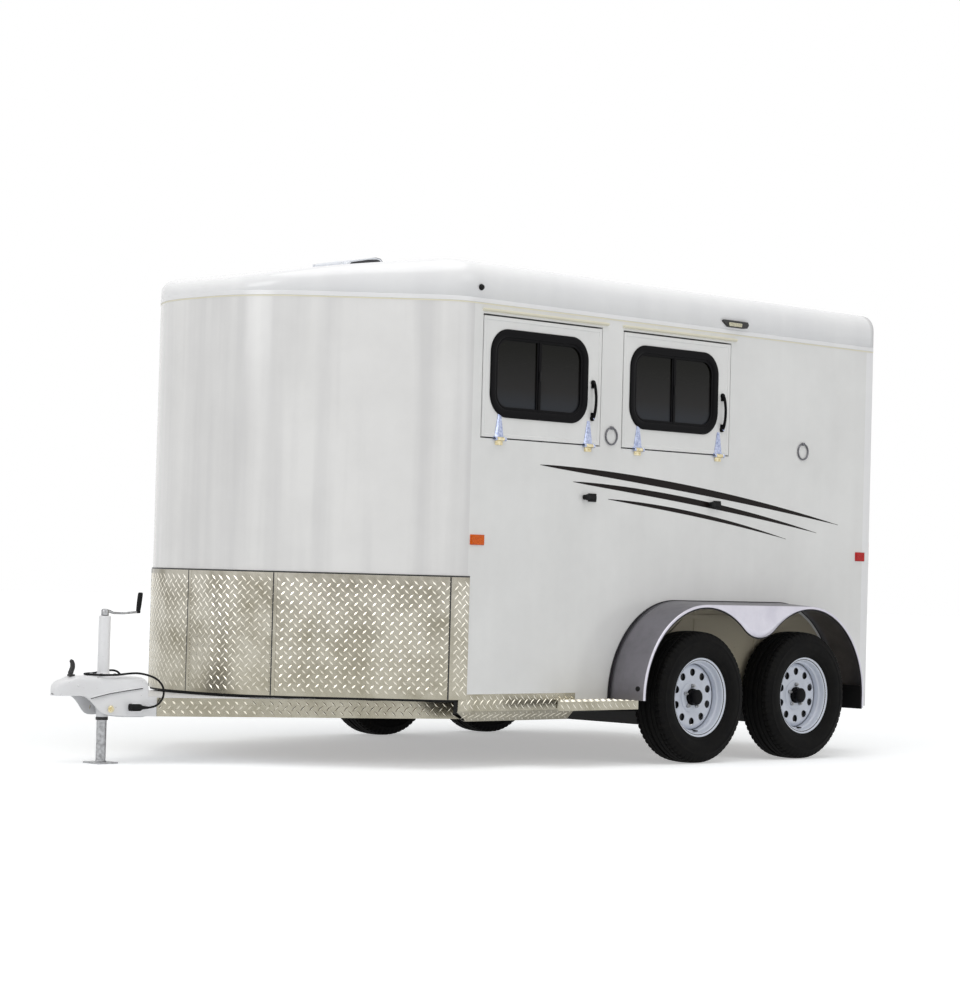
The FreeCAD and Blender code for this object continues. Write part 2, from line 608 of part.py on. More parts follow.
fixed_leaves = []
for name, front in HATCHES:
    rear = front + " - hatch_width"
    frame_span = (front + " - window_offset - window_length", front + " - window_offset")
    hole, frame, pane = window("hatch_%s_window" % name, "y", frame_span,
                               ("window_bottom", "window_bottom + window_height"), "half_width", 1,
                               size.window_radius, size.frame_band)
    slab = block("hatch_%s_slab" % name, (rear, front), WALL_Y, ("hatch_bottom", "hatch_top"))
    keep("hatch_%s_panel" % name, carved("hatch_%s_cut" % name, slab, [hole]))
    keep("hatch_%s_glass" % name, pane)
    moving = [frame]
    for number, place in enumerate((front + " - 120", front + " - 757")):
        fixed, strap = hatch_hinge("hatch_%s_hinge_%d" % (name, number), place)
        fixed_leaves.append(fixed)
        moving.append(strap)
    bar_x = (rear + " + 54", rear + " + 54 + handle_bar")
    handle = [block("hatch_%s_handle_bar" % name, bar_x, ("half_width + handle_out - handle_bar", "half_width + handle_out"),
                    ("window_bottom + 20", "window_bottom + 228"))]
    for number, low in enumerate(("window_bottom + 20", "window_bottom + 228 - handle_bar")):
        handle.append(block("hatch_%s_handle_leg_%d" % (name, number), bar_x, ("half_width", "half_width + handle_out - 1"),
                            (low, low + " + handle_bar")))
    moving.append(fused("hatch_%s_handle" % name, handle))
    keep("hatch_%s_fittings" % name, grouped("hatch_%s_fitting_group" % name, moving))

# Right wall: dressing room door and two rump windows
TACK = ("tack_door_rear_x", "tack_door_rear_x + tack_door_width")
right_blank = mirrored("right_side_blank", side_wall("right_side"))
RIGHT_Y = ("-half_width - 1", "-(half_width - wall - 1)")
tack_hole = block("tack_hole", (TACK[0] + " - door_gap", TACK[1] + " + door_gap"), RIGHT_Y,
                  ("tack_door_bottom - door_gap", "tack_door_top + door_gap"))
rump_holes, rump_frames, rump_panes = [], [], []
for number, rear in enumerate(("-1950", "-1050")):
    hole, frame, pane = window("rump_window_%d" % number, "y", (rear, rear + " + window_length"),
                               ("window_bottom", "window_bottom + window_height"), "-half_width", -1,
                               size.window_radius, size.frame_band)
    rump_holes.append(hole)
    rump_frames.append(frame)
    rump_panes.append(pane)
keep("side_wall_right", carved("right_wall", right_blank, [tack_hole] + rump_holes))
keep("rump_window_frames", grouped("rump_frame_pair", rump_frames))
keep("rump_window_glass", grouped("rump_pane_pair", rump_panes))


def door_hinge(label, wall_axis, sign, pivot, height):
    """Hinge with an upright pin for a rear door (wall_axis x) or the dressing room door (y).

    pivot is the pin's (x, y); sign points from the pin to the fixed frame along the wall.
    """
    low, high = height + " - knuckle / 2", height + " + knuckle / 2"
    knuckle = barrel(label + "_barrel", "z", (low, high), pivot, "knuckle_radius")
    bore = rod(label + "_bore", "z", (low + " - 1", high + " + 1"), pivot, "pin_radius + pin_gap")

    def plate(name, start, end, span, depth):
        along = (pivot[0] if wall_axis == "y" else pivot[1])
        edges = sorted([start, end]) if sign > 0 else sorted([-start, -end])
        run = ("%s + (%s)" % (along, edges[0]), "%s + (%s)" % (along, edges[1]))
        return block(name, run, depth, span) if wall_axis == "y" else block(name, depth, run, span)

    if wall_axis == "y":
        depth = ("-half_width - strap", "-half_width")
    else:
        depth = ("rear_x - strap", "rear_x")
    reach = size.leaf_reach
    fixed = carved(label + "_fixed", fused(label + "_fixed_blank",
                   [knuckle, plate(label + "_leaf", 0, reach, (low, high), depth)]), [bore])
    pieces = [rod(label + "_pin", "z", (low + " - lug / 2", high + " + lug / 2"), pivot, "pin_radius")]
    for side, (start, end) in (("a", (low + " - lug_gap - lug", low + " - lug_gap")),
                               ("b", (high + " + lug_gap", high + " + lug_gap + lug"))):
        pieces.append(barrel(label + "_lug_" + side, "z", (start, end), pivot, "knuckle_radius"))
        pieces.append(plate(label + "_web_" + side, -26, 0, (start, end), depth))
    pieces.append(plate(label + "_strap", -size.strap_reach, -14,
                        (low + " - lug_gap - lug", high + " + lug_gap + lug"), depth))
    return fixed, fused(label + "_moving", pieces)


def latch_bar(label, wall_axis, along, face_span, span):
    """Upright lock rod on a door with two guides."""
    pieces = []
    if wall_axis == "x":
        pieces.append(rod(label + "_rod", "z", span, ("rear_x - 16", along), "9"))
        for number, height in enumerate((span[0] + " + 180", span[1] + " - 220")):
            pieces.append(block(label + "_guide_%d" % number, ("rear_x - 26", "rear_x"),
                                (along + " - 16", along + " + 16"), (height, height + " + 40")))
        pieces.append(block(label + "_lever", ("rear_x - 30", "rear_x - 8"), (along + " - 12", along + " + 12"),
                            ("1180", "1440")))
    return fused(label, pieces)


REAR_DOORS = (("left", 1), ("right", -1))
for name, sign in REAR_DOORS:
    opening = "(half_width - rear_post_width)"
    near, far = "5", opening + " - door_gap"
    limits = (near, far) if sign > 0 else ("-(%s)" % far, "-(%s)" % near)
    frame_limits = ("%s + 150" % limits[0], "%s - 150" % limits[1])
    hole, frame, pane = window("rear_%s_window" % name, "x", frame_limits, ("window_bottom - 20", "window_bottom + 420"),
                               "rear_x", -1, size.window_radius, size.frame_band)
    slab = block("rear_%s_slab" % name, ("rear_x", "rear_x + wall"), limits, ("rear_door_bottom", "rear_door_top"))
    keep("rear_door_%s_panel" % name, carved("rear_%s_cut" % name, slab, [hole]))
    keep("rear_door_%s_glass" % name, pane)
    moving = [frame]
    pivot = ("rear_x - hinge_out", "%s%s + hinge_out / 2 * %d" % ("" if sign > 0 else "-", opening, sign))
    for number, height in enumerate(("rear_door_bottom + 160", "rear_door_bottom + 900", "rear_door_top - 160")):
        fixed, strap = door_hinge("rear_%s_hinge_%d" % (name, number), "x", sign, pivot, height)
        fixed_leaves.append(fixed)
        moving.append(strap)
    moving.append(latch_bar("rear_%s_lock" % name, "x", "%d" % (90 * sign), "rear_x",
                            ("rear_door_bottom + 20", "rear_door_top - 20")))
    keep("rear_door_%s_fittings" % name, grouped("rear_%s_fitting_group" % name, moving))

hole, frame, pane = window("tack_window", "y", (TACK[0] + " + 110", TACK[1] + " - 110"),
                           ("window_bottom", "window_bottom + 380"), "-half_width", -1, size.window_radius * 0.75,
                           size.frame_band)
tack_slab = block("tack_slab", TACK, ("-half_width", "-(half_width - wall)"), ("tack_door_bottom", "tack_door_top"))
keep("tack_door_panel", carved("tack_cut", tack_slab, [hole]))
keep("tack_door_glass", pane)
moving = [frame]
for number, height in enumerate(("tack_door_bottom + 150", "tack_door_bottom + 875", "tack_door_top - 150")):
    fixed, strap = door_hinge("tack_hinge_%d" % number, "y", 1,
                              (TACK[1] + " + hinge_out", "-half_width - hinge_out"), height)
    fixed_leaves.append(fixed)
    moving.append(strap)
moving.append(block("tack_lock", (TACK[0] + " + 40", TACK[0] + " + 95"), ("-half_width - 22", "-half_width"),
                    ("1180", "1330")))
keep("tack_door_fittings", grouped("tack_fitting_group", moving))
keep("hinge_leaves", grouped("fixed_leaf_group", fixed_leaves))

# Nose, roof and rear frame
keep("nose_shell", raised("nose_wall", plan_band(0, size.wall, size.corner_x), "nose_bottom", "roof_line - nose_bottom"))
keep("gravel_guard", raised("guard_band", plan_band(-size.sheet - size.seat_gap, -size.seat_gap, size.corner_x - 12),
                            "nose_bottom", "guard_top - nose_bottom"))


def roof_block(inset, low, top, start_x):
    """Solid inside the body's plan, flat on top and then falling over the nose."""
    solid = plan_face(inset, start_x).extrude(Vector(0, 0, top - low))
    solid.translate(Vector(0, 0, low))
    wedge = Part.makeBox(2000, 3000, 600, Vector(0, -1500, 0))
    wedge.rotate(Vector(), Vector(0, 1, 0), size.roof_drop_angle)
    wedge.translate(Vector(size.roof_drop_x, 0, top))
    return solid.cut(wedge)


def roof_outside():
    """The roof block with a soft crease and rounded long and nose edges."""
    solid = roof_block(0, size.roof_line, size.roof_top, size.rear_x)
    crease = [edge for edge in solid.Edges if abs(edge.BoundBox.XMin - size.roof_drop_x) < 1
              and edge.BoundBox.XLength < 1 and edge.BoundBox.YLength > 1000]
    solid = solid.makeFillet(size.roof_crease_radius, crease)
    chosen = []
    for edge in solid.Edges:
        box = edge.BoundBox
        crossing = box.YLength > 1000 and box.XLength < 1
        if min(vertex.Z for vertex in edge.Vertexes) > size.roof_line + 36 and not crossing:
            chosen.append(edge)
    return solid.makeFillet(size.roof_edge_radius, chosen)


def roof_inside():
    """The hollow below it, stepped where the outside is rounded."""
    start = size.rear_x + size.rear_post
    low = size.roof_line - 1
    main = roof_block(size.wall, low, size.roof_top - size.roof_edge_radius + 15, start)
    crown = roof_block(size.roof_edge_radius - size.roof_skin, low, size.roof_top - size.roof_skin, start)
    return main.fuse(crown)


roof_item = doc.addObject("Part::Feature", "roof_solid")
roof_item.Shape = roof_outside().cut(roof_inside())
VENT_WELL_X = ("vent_front_x - vent_length + vent_wall", "vent_front_x - vent_wall")
VENT_WELL_Y = ("-(vent_half - vent_wall)", "vent_half - vent_wall")
vent_cut = block("vent_cut", VENT_WELL_X, VENT_WELL_Y, ("roof_top - roof_skin - 5", "roof_top + 5"))
keep("roof_shell", carved("roof_cut", roof_item, [vent_cut]))

rear_outer = block("rear_outer", ("rear_x", "rear_x + rear_post"), ("-half_width", "half_width"),
                   ("rear_skirt_bottom", "roof_line"))
rear_opening = block("rear_opening", ("rear_x - 1", "rear_x + rear_post + 1"),
                     ("-(half_width - rear_post_width)", "half_width - rear_post_width"),
                     ("rear_door_bottom - door_gap", "rear_door_top + door_gap"))
keep("rear_frame", carved("rear_ring", rear_outer, [rear_opening]))
keep("rear_bumper", block("bumper", ("rear_x - rear_post", "rear_x"), ("-1000", "1000"),
                          ("rear_skirt_bottom + 26", "rear_skirt_bottom + 86")))

# Bulkhead between the stalls and the dressing room, at a slant
SLANT_RUN = "(half_width - wall) * 2 * tan(slant)"
keep("bulkhead", prism("bulkhead_panel", "xy", [
    ("bulkhead_x", "half_width - wall"),
    ("bulkhead_x - bulkhead_thick / cos(slant)", "half_width - wall"),
    ("bulkhead_x - bulkhead_thick / cos(slant) - " + SLANT_RUN, "-(half_width - wall)"),
    ("bulkhead_x - " + SLANT_RUN, "-(half_width - wall)"),
], ("wall_bottom + floor_thick", "roof_line - 6")))

# Side skirts and running boards
skirt = prism("skirt_left_blank", "yz", [
    ("half_width", "wall_bottom"),
    ("half_width", "skirt_bend"),
    ("half_width - skirt_inset", "skirt_bottom"),
    ("half_width - skirt_inset - 24", "skirt_bottom"),
    ("half_width - skirt_inset - 24", "wall_bottom - rail_height"),
    ("half_width - skirt_inset - 24 + sheet", "wall_bottom - rail_height"),
    ("half_width - skirt_inset - 24 + sheet", "skirt_bottom + sheet"),
    ("half_width - skirt_inset - 1", "skirt_bottom + sheet"),
    ("half_width - sheet", "skirt_bend + 1"),
    ("half_width - sheet", "wall_bottom"),
], ("skirt_rear_x", "skirt_front_x"))
skirt_corner = prism("skirt_corner", "xz", [
    ("skirt_front_x + 1", "skirt_bottom - 1"),
    ("skirt_front_x - skirt_chamfer", "skirt_bottom - 1"),
    ("skirt_front_x - skirt_chamfer", "skirt_bottom"),
    ("skirt_front_x", "skirt_bend - 4"),
    ("skirt_front_x + 1", "skirt_bend - 4"),
], ("half_width + 1", "half_width - skirt_inset - 40"))
skirt_corner.Dir = Vector(0, -1, 0)
skirt_corner.setExpression("LengthFwd", linked("skirt_inset + 41"))
skirt_top = block("skirt_top_cut", ("corner_x - 13", "skirt_front_x + 1"), ("half_width - 4", "half_width + 1"),
                  ("nose_bottom - 1", "wall_bottom + 1"))
skirt_item = carved("skirt_left", skirt, [skirt_corner, skirt_top])
keep("side_skirts", grouped("skirt_pair", [skirt_item, mirrored("skirt_right", skirt_item)]))

board = prism("board_blank", "yz", [
    ("half_width", "board_top"),
    ("half_width + board_width", "board_top"),
    ("half_width + board_width", "board_top - board_height"),
    ("half_width + board_width - 20", "board_top - board_height"),
    ("half_width + board_width - 20", "board_top - board_height + sheet"),
    ("half_width + board_width - sheet", "board_top - board_height + sheet"),
    ("half_width + board_width - sheet", "board_top - sheet"),
    ("half_width + sheet", "board_top - sheet"),
    ("half_width + sheet", "board_top - board_height"),
    ("half_width", "board_top - board_height"),
], ("board_rear_x", "board_front_x"))
mitre = prism("board_mitre", "xy", [
    ("board_front_x", "half_width + board_width"),
    ("board_front_x - board_width", "half_width"),
    ("board_front_x - board_width", "half_width - 1"),
    ("board_front_x + 1", "half_width - 1"),
    ("board_front_x + 1", "half_width + board_width"),
], ("board_top - board_height - 1", "board_top + 1"))
brackets = [block("board_bracket_%d" % number, (place, place + " + 6"), ("half_width - wall", "half_width + board_width - 21"),
                  ("board_top - board_height + sheet", "board_top - sheet")) for number, place in enumerate(("-190", "-60"))]
board_item = fused("board_left", [carved("board_cut", board, [mitre])] + brackets)
keep("running_boards", grouped("board_pair", [board_item, mirrored("board_right", board_item)]))


def fender_wire(shift, y, grow):
    """Side outline of a tandem fender at one plane: legs, two quarter rounds and a flat top."""
    radius = size.fender_radius + grow - shift
    top = size.hub_z + radius
    front_bottom = size.fender_front_bottom - 4 * shift
    rear_bottom = size.fender_rear_bottom - 4 * shift
    ends = []
    for centre, heading in ((size.wheel_front_x, 0), (size.wheel_rear_x, 180)):
        ends.append((centre, radius if heading == 0 else -radius))
    (front, ahead), (rear, behind) = ends
    middle_angle = math.radians(45)

    def spot(x, z):
        return Vector(x, y, z)

    def quarter(centre, side):
        return Part.Arc(spot(centre + side * radius, size.hub_z),
                        spot(centre + side * radius * math.cos(middle_angle), size.hub_z + radius * math.sin(middle_angle)),
                        spot(centre, top)).toShape()

    edges = [
        line(spot(front + ahead, front_bottom), spot(front + ahead, size.hub_z)),
        quarter(front, 1),
        line(spot(front, top), spot(rear, top)),
        quarter(rear, -1),
        line(spot(rear + behind, size.hub_z), spot(rear + behind, rear_bottom)),
        line(spot(rear + behind, rear_bottom), spot(front + ahead, front_bottom)),
    ]
    return Part.Wire(Part.__sortEdges__(edges))


def fender_shape():
    """Flared sheet over both wheels with a skirt that dips between them."""
    outer = Part.makeLoft([fender_wire(0, size.half_width, size.fender_flare), fender_wire(0, size.fender_out, 0)], True, True)
    inner = Part.makeLoft([fender_wire(size.sheet, size.half_width - 1, size.fender_flare),
                           fender_wire(size.sheet, size.fender_out - size.sheet, 0)], True, True)
    shell = outer.cut(inner)
    cutter = []
    arch = size.fender_radius - size.fender_lip
    half = (size.wheel_front_x - size.wheel_rear_x) / 2
    middle = (size.wheel_front_x + size.wheel_rear_x) / 2
    rise = size.fender_dip - size.hub_z
    bump = (half ** 2 + rise ** 2 - arch ** 2) / (2 * (arch - rise))
    centre_z = size.fender_dip + bump
    reach = arch + bump
    touch_x = half * arch / reach
    touch_z = size.hub_z + (centre_z - size.hub_z) * arch / reach
    y = size.fender_out - size.sheet - 0.5

    def spot(x, z):
        return Vector(x, y, z)

    edges = []
    for side, centre in ((1, size.wheel_front_x), (-1, size.wheel_rear_x)):
        inward = -side
        outer_end = spot(centre + side * arch, size.hub_z)
        touch = spot(centre + inward * touch_x, touch_z)
        start = math.atan2(touch_z - size.hub_z, inward * touch_x)
        stop = math.radians(0 if side > 0 else 180)
        mid = (start + stop) / 2
        through = spot(centre + arch * math.cos(mid), size.hub_z + arch * math.sin(mid))
        edges.append(Part.Arc(outer_end, through, touch).toShape())
        edges.append(line(outer_end, spot(centre + side * arch, size.fender_rear_bottom - 100)))
    edges.append(Part.Arc(spot(size.wheel_front_x - touch_x, touch_z), spot(middle, size.fender_dip),
                          spot(size.wheel_rear_x + touch_x, touch_z)).toShape())
    edges.append(line(spot(size.wheel_front_x + arch, size.fender_rear_bottom - 100),
                      spot(size.wheel_rear_x - arch, size.fender_rear_bottom - 100)))
    face = Part.Face(Part.Wire(Part.__sortEdges__(edges)))
    return shell.cut(face.extrude(Vector(0, size.sheet + 2, 0)))


fender = doc.addObject("Part::Feature", "fender_left")
fender.Shape = fender_shape()
keep("fenders", grouped("fender_pair", [fender, mirrored("fender_right", fender)]))
flap = block("flap_left", ("wheel_rear_x - fender_radius + sheet + 3", "wheel_rear_x - fender_radius + sheet + 13"),
             ("half_width + 8", "fender_out - sheet - 4"), ("fender_rear_bottom - 6", "fender_rear_bottom + 120"))
keep("mud_flaps", grouped("flap_pair", [flap, mirrored("flap_right", flap)]))

# Axles: square torsion tubes with trailing arms and spindles
AXLES = (("front", "wheel_front_x"), ("rear", "wheel_rear_x"))
TUBE_Z = "wall_bottom - rail_height - axle_half"
ARM_Y = ("half_width - 30", "half_width - 30 + arm_thick")
axle_items = []
for name, wheel in AXLES:
    centre = wheel + " + axle_lead"
    pieces = [block("axle_tube_" + name, (centre + " - axle_half", centre + " + axle_half"),
                    ("-(%s)" % ARM_Y[0], ARM_Y[0]), (TUBE_Z + " - axle_half", TUBE_Z + " + axle_half"))]
    arm = prism("axle_arm_" + name, "xz", [
        (centre + " + arm_half", TUBE_Z + " - arm_half"),
        (centre + " + arm_half", TUBE_Z + " + arm_half * 0.8"),
        (wheel + " + arm_half", "hub_z + spindle_radius"),
        (wheel + " - arm_half", "hub_z + spindle_radius"),
        (wheel + " - arm_half", "hub_z - arm_half"),
        (centre + " - arm_half", TUBE_Z + " - arm_half"),
    ], (ARM_Y[1], ARM_Y[0]))
    arm.Dir = Vector(0, -1, 0)
    arm.setExpression("LengthFwd", linked("arm_thick"))
    spindle = rod("spindle_" + name, "y", (ARM_Y[0], "wheel_y + 60"), (wheel, "hub_z"), "spindle_radius")
    pieces += [arm, mirrored("axle_arm_right_" + name, arm), spindle, mirrored("spindle_right_" + name, spindle)]
    axle_items.append(fused("axle_" + name, pieces))
keep("axles", grouped("axle_pair", axle_items))


def turned(profile):
    """Closed (outward, radius) corners turned about a wheel's axle in wheel_sides flats."""
    sides = int(size.wheel_sides)
    rings = []
    for number in range(sides):
        turn = 2 * math.pi * number / sides
        rings.append([Vector(radius * math.sin(turn), outward, radius * math.cos(turn)) for outward, radius in profile])
    faces = []
    for first, second in zip(rings, rings[1:] + rings[:1]):
        for low, high, far_high, far_low in zip(first, first[1:] + first[:1], second[1:] + second[:1], second):
            corners = [low]
            for corner in (high, far_high, far_low):
                if (corner - corners[-1]).Length > 1e-6 and (corner - corners[0]).Length > 1e-6:
                    corners.append(corner)
            if len(corners) > 2:
                faces.append(Part.Face(Part.makePolygon(corners + corners[:1])))
    return Part.Solid(Part.makeShell(faces))


def placed(label, shape, wheel, side):
    """A left-hand wheel piece set on its axle, mirrored for the right side."""
    item = doc.addObject("Part::Feature", label)
    item.Shape = shape if side > 0 else shape.mirror(Vector(), Vector(0, 1, 0))
    for name, text in (("x", wheel), ("y", "wheel_y" if side > 0 else "-wheel_y"), ("z", "hub_z")):
        item.setExpression("Placement.Base." + name, linked(text))
    return item


def tyre_shape():
    """Tyre section from the left bead to the right one over the crown."""
    bead = size.rim_radius + size.seat_gap
    half = (
        (0.68, bead),
        (0.68, bead + 19),
        (0.86, bead + 26),
        (1.00, bead + 72),
        (0.93, bead + 116),
        (0.76, size.tyre_radius - 5),
    )
    right = [(-share * size.tyre_half, radius) for share, radius in half]
    left = [(share * size.tyre_half, radius) for share, radius in reversed(half)]
    return turned(right + [(0, size.tyre_radius)] + left)


def wheel_shape():
    """Rim, dished disc with round vents, hub, lug nuts and brake drum."""
    seat, lip, half = size.rim_radius, size.flange_radius, size.rim_half
    rim = turned([(-half, lip), (-half + 7, seat), (half - 7, seat), (half, lip), (half - 8, seat - 6),
                  (-half + 8, seat - 6)])
    disc = turned([(30, seat - 3), (34, seat - 36), (34, 98), (28, 80), (28, 40), (22, 40), (22, seat - 3)])
    bore = size.spindle_radius + size.spindle_gap
    hub = turned([(-60, 0), (-60, size.hub_radius), (size.hub_out - 8, size.hub_radius - 2),
                  (size.hub_out, size.hub_radius - 12), (size.hub_out, 0)])
    drum = turned([(-70, size.hub_radius - 2), (-70, size.drum_radius), (10, size.drum_radius),
                   (10, size.hub_radius - 2)])
    solid = rim.fuse([disc, hub, drum])
    holes = [Part.makeCylinder(bore, 122, Vector(0, -60, 0), Vector(0, 1, 0))]
    for number in range(int(size.vent_count)):
        turn = 2 * math.pi * number / size.vent_count
        corners = []
        for step in range(13):
            spin = 2 * math.pi * (step % 12) / 12
            corners.append(Vector(size.vent_circle * math.cos(turn) + size.vent_radius * math.cos(spin), 20,
                                  size.vent_circle * math.sin(turn) + size.vent_radius * math.sin(spin)))
        holes.append(Part.Face(Part.makePolygon(corners)).extrude(Vector(0, 20, 0)))
    solid = solid.cut(holes)
    nuts = []
    for number in range(5):
        turn = math.radians(72.0 * number + 90)
        corners = []
        for step in range(7):
            spin = 2 * math.pi * (step % 6) / 6
            corners.append(Vector(size.nut_circle * math.cos(turn) + 10 * math.cos(spin), 24,
                                  size.nut_circle * math.sin(turn) + 10 * math.sin(spin)))
        nuts.append(Part.Face(Part.makePolygon(corners)).extrude(Vector(0, 22, 0)))
    return solid.fuse(nuts).removeSplitter()


tyre_solid, wheel_solid = tyre_shape(), wheel_shape()
for name, wheel in AXLES:
    for side_name, side in (("left", 1), ("right", -1)):
        keep("tyre_%s_%s" % (name, side_name), placed("tyre_%s_%s_solid" % (name, side_name), tyre_solid, wheel, side))
        keep("wheel_%s_%s" % (name, side_name), placed("wheel_%s_%s_solid" % (name, side_name), wheel_solid, wheel, side))

# Roof vent: a curb round the well, and a hollow wedge-shaped lid hinged at its front
VENT_X = ("vent_front_x - vent_length", "vent_front_x")
curb = block("curb_outer", VENT_X, ("-vent_half", "vent_half"), ("roof_top", "roof_top + vent_curb"))
curb_hole = block("curb_hole", VENT_WELL_X, VENT_WELL_Y, ("roof_top - 1", "roof_top + vent_curb + 1"))
VENT_PIVOT = ("vent_pivot_x", "roof_top + vent_pivot_rise")
ears = []
for number, side in enumerate((1, -1)):
    across = sorted((side * 103, side * 115))
    span = (str(across[0]), str(across[1]))
    ears.append(block("vent_ear_foot_%d" % number, ("vent_front_x - 1", "vent_front_x + 16"), span,
                      ("roof_top + vent_curb - 12", "roof_top + vent_curb")))
    ears.append(block("vent_ear_%d" % number, ("vent_front_x + 2.4", "vent_front_x + 16"), span,
                      ("roof_top + vent_curb - 1", "roof_top + vent_pivot_rise + 8")))
ear_bore = rod("vent_ear_bore", "y", ("-116", "116"), VENT_PIVOT, "pin_radius - 1.5 + pin_gap")
keep("vent_base", carved("vent_base_solid", fused("vent_base_blank", [carved("vent_curb_ring", curb, [curb_hole])] + ears),
                         [ear_bore]))
LID_LOW = "roof_top + vent_curb + seat_gap"


def lid_wedge(label, inset, low):
    front, rear = "vent_front_x - %s" % inset, "vent_front_x - vent_length + %s" % inset
    item = prism(label, "xz", [
        (front, low),
        (front, "%s + vent_front_height * 0.3" % LID_LOW),
        (front + " - 22", "%s + vent_front_height - (%s)" % (LID_LOW, inset)),
        (rear + " + 14", "%s + vent_rear_height - (%s)" % (LID_LOW, inset)),
        (rear, "%s + vent_rear_height - 12 - (%s)" % (LID_LOW, inset)),
        (rear, low),
    ], ("vent_half - %s" % inset, "-(vent_half - %s)" % inset))
    item.Dir = Vector(0, -1, 0)
    item.setExpression("LengthFwd", linked("(vent_half - %s) * 2" % inset))
    return item


vent_shell = carved("vent_lid_shell", lid_wedge("vent_lid_outer", "0", LID_LOW),
                    [lid_wedge("vent_lid_inner", "vent_skin", LID_LOW + " - 1")])
vent_roll = rod("vent_lid_roll", "y", ("-100", "100"), VENT_PIVOT, "pin_radius + 3.5")
vent_pin = rod("vent_lid_pin", "y", ("-115", "115"), VENT_PIVOT, "pin_radius - 1.5")
keep("vent_lid", fused("vent_lid_solid", [vent_shell, vent_roll, vent_pin]))

# Lead to the towing vehicle: out of a gland on the deck, round the jack on the coupler, and into its parked plug
LEAD = (
    (1885, -62, 336), (1920, -62, 336), (1956, -64, 356), (1980, -66, 398), (2012, -70, 438), (2074, -80, 437),
    (2130, -90, 424), (2184.4, -87.8, 422.3), (2235.8, -36.4, 422.3), (2235.8, 36.4, 422.3), (2184.4, 87.8, 422.3),
    (2130, 100, 424), (2086, 120, 431), (2042, 150, 434), (1993.4, 200.5, 416), (1959.5, 216.3, 383),
    (1949.8, 220.9, 339.4), (1964.3, 214.1, 297.5), (1997.7, 198.5, 272), (2030.7, 183.1, 272),
)
LEAD_SIDES = 8


def bent_path(points):
    """Lines between the points, with the largest tangent arc that both runs allow at each inner one."""
    corners = [Vector(*point) for point in points]
    edges, start, radii = [], corners[0], []
    for before, corner, after in zip(corners, corners[1:], corners[2:]):
        back, onward = (before - corner).normalize(), (after - corner).normalize()
        half = math.acos(max(-1.0, min(1.0, back * onward))) / 2
        trim = 0.45 * min((before - corner).Length, (after - corner).Length)
        reach = trim / math.cos(half)
        radius = trim * math.tan(half)
        radii.append(round(radius))
        inner = (back + onward).normalize()
        first, last = corner + back * trim, corner + onward * trim
        edges.append(line(start, first))
        edges.append(Part.Arc(first, corner + inner * (reach - radius), last).toShape())
        start = last
    edges.append(line(start, corners[-1]))
    print("lead bends", radii)
    return Part.Wire(edges)


lead_path = bent_path(LEAD)
# Eight flats whose section has the round lead's area
reach = size.lead_radius * math.sqrt(math.pi / (LEAD_SIDES / 2 * math.sin(2 * math.pi / LEAD_SIDES)))
ring = []
for number in range(LEAD_SIDES + 1):
    turn = 2 * math.pi * (number % LEAD_SIDES) / LEAD_SIDES
    ring.append(Vector(*LEAD[0]) + Vector(0, reach * math.cos(turn), reach * math.sin(turn)))
lead = doc.addObject("Part::Feature", "lead_run")
lead.Shape = lead_path.makePipeShell([Part.makePolygon(ring)], True, False)
keep("trailer_lead", lead)
gland_rod = rod("lead_gland", "x", ("1845", "1885"), ("-62", "336"), "13")
gland_foot = block("lead_gland_foot", ("1845", "1885"), ("-75", "-49"), ("tongue_top + deck_thick", "336"))
gland = fused("lead_gland_body", [gland_rod, gland_foot])
plug_way = Vector(math.cos(math.radians(size.tongue_angle)), -math.sin(math.radians(size.tongue_angle)), 0)
plug_out = Vector(-plug_way.y, plug_way.x, 0)
plug = doc.addObject("Part::Feature", "lead_plug_body")
plug.Shape = Part.makeCylinder(size.plug_radius, size.plug_length, Vector(*LEAD[-1]), plug_way)
keep("lead_plug", plug)
# The clip's two plates reach from the coupler's cheek over and under the plug
cheek_out = (Vector(size.tongue_apex_x, size.tongue_apex_half, 0) - Vector(*LEAD[-1])) * plug_out
cheek_out += size.coupler_cheek + size.seat_gap
plates = []
for label, inward, outward, low, high in (
    ("clip_back", cheek_out, cheek_out + 3, -22, 22),
    ("clip_under", cheek_out, 12, -size.plug_radius - size.clip_plate, -size.plug_radius - 0.2),
    ("clip_over", cheek_out, 12, size.plug_radius + 0.2, size.plug_radius + size.clip_plate),
):
    corners = []
    for along, across in ((25, inward), (65, inward), (65, outward), (25, outward)):
        spot = Vector(*LEAD[-1]) + plug_way * along + plug_out * across
        corners.append(("%.3f" % spot.x, "%.3f" % spot.y))
    middle = LEAD[-1][2]
    plates.append(prism(label, "xy", corners, ("%.3f" % (middle + low), "%.3f" % (middle + high))))
keep("lead_fittings", grouped("lead_fitting_group", [gland, fused("plug_clip", plates)]))

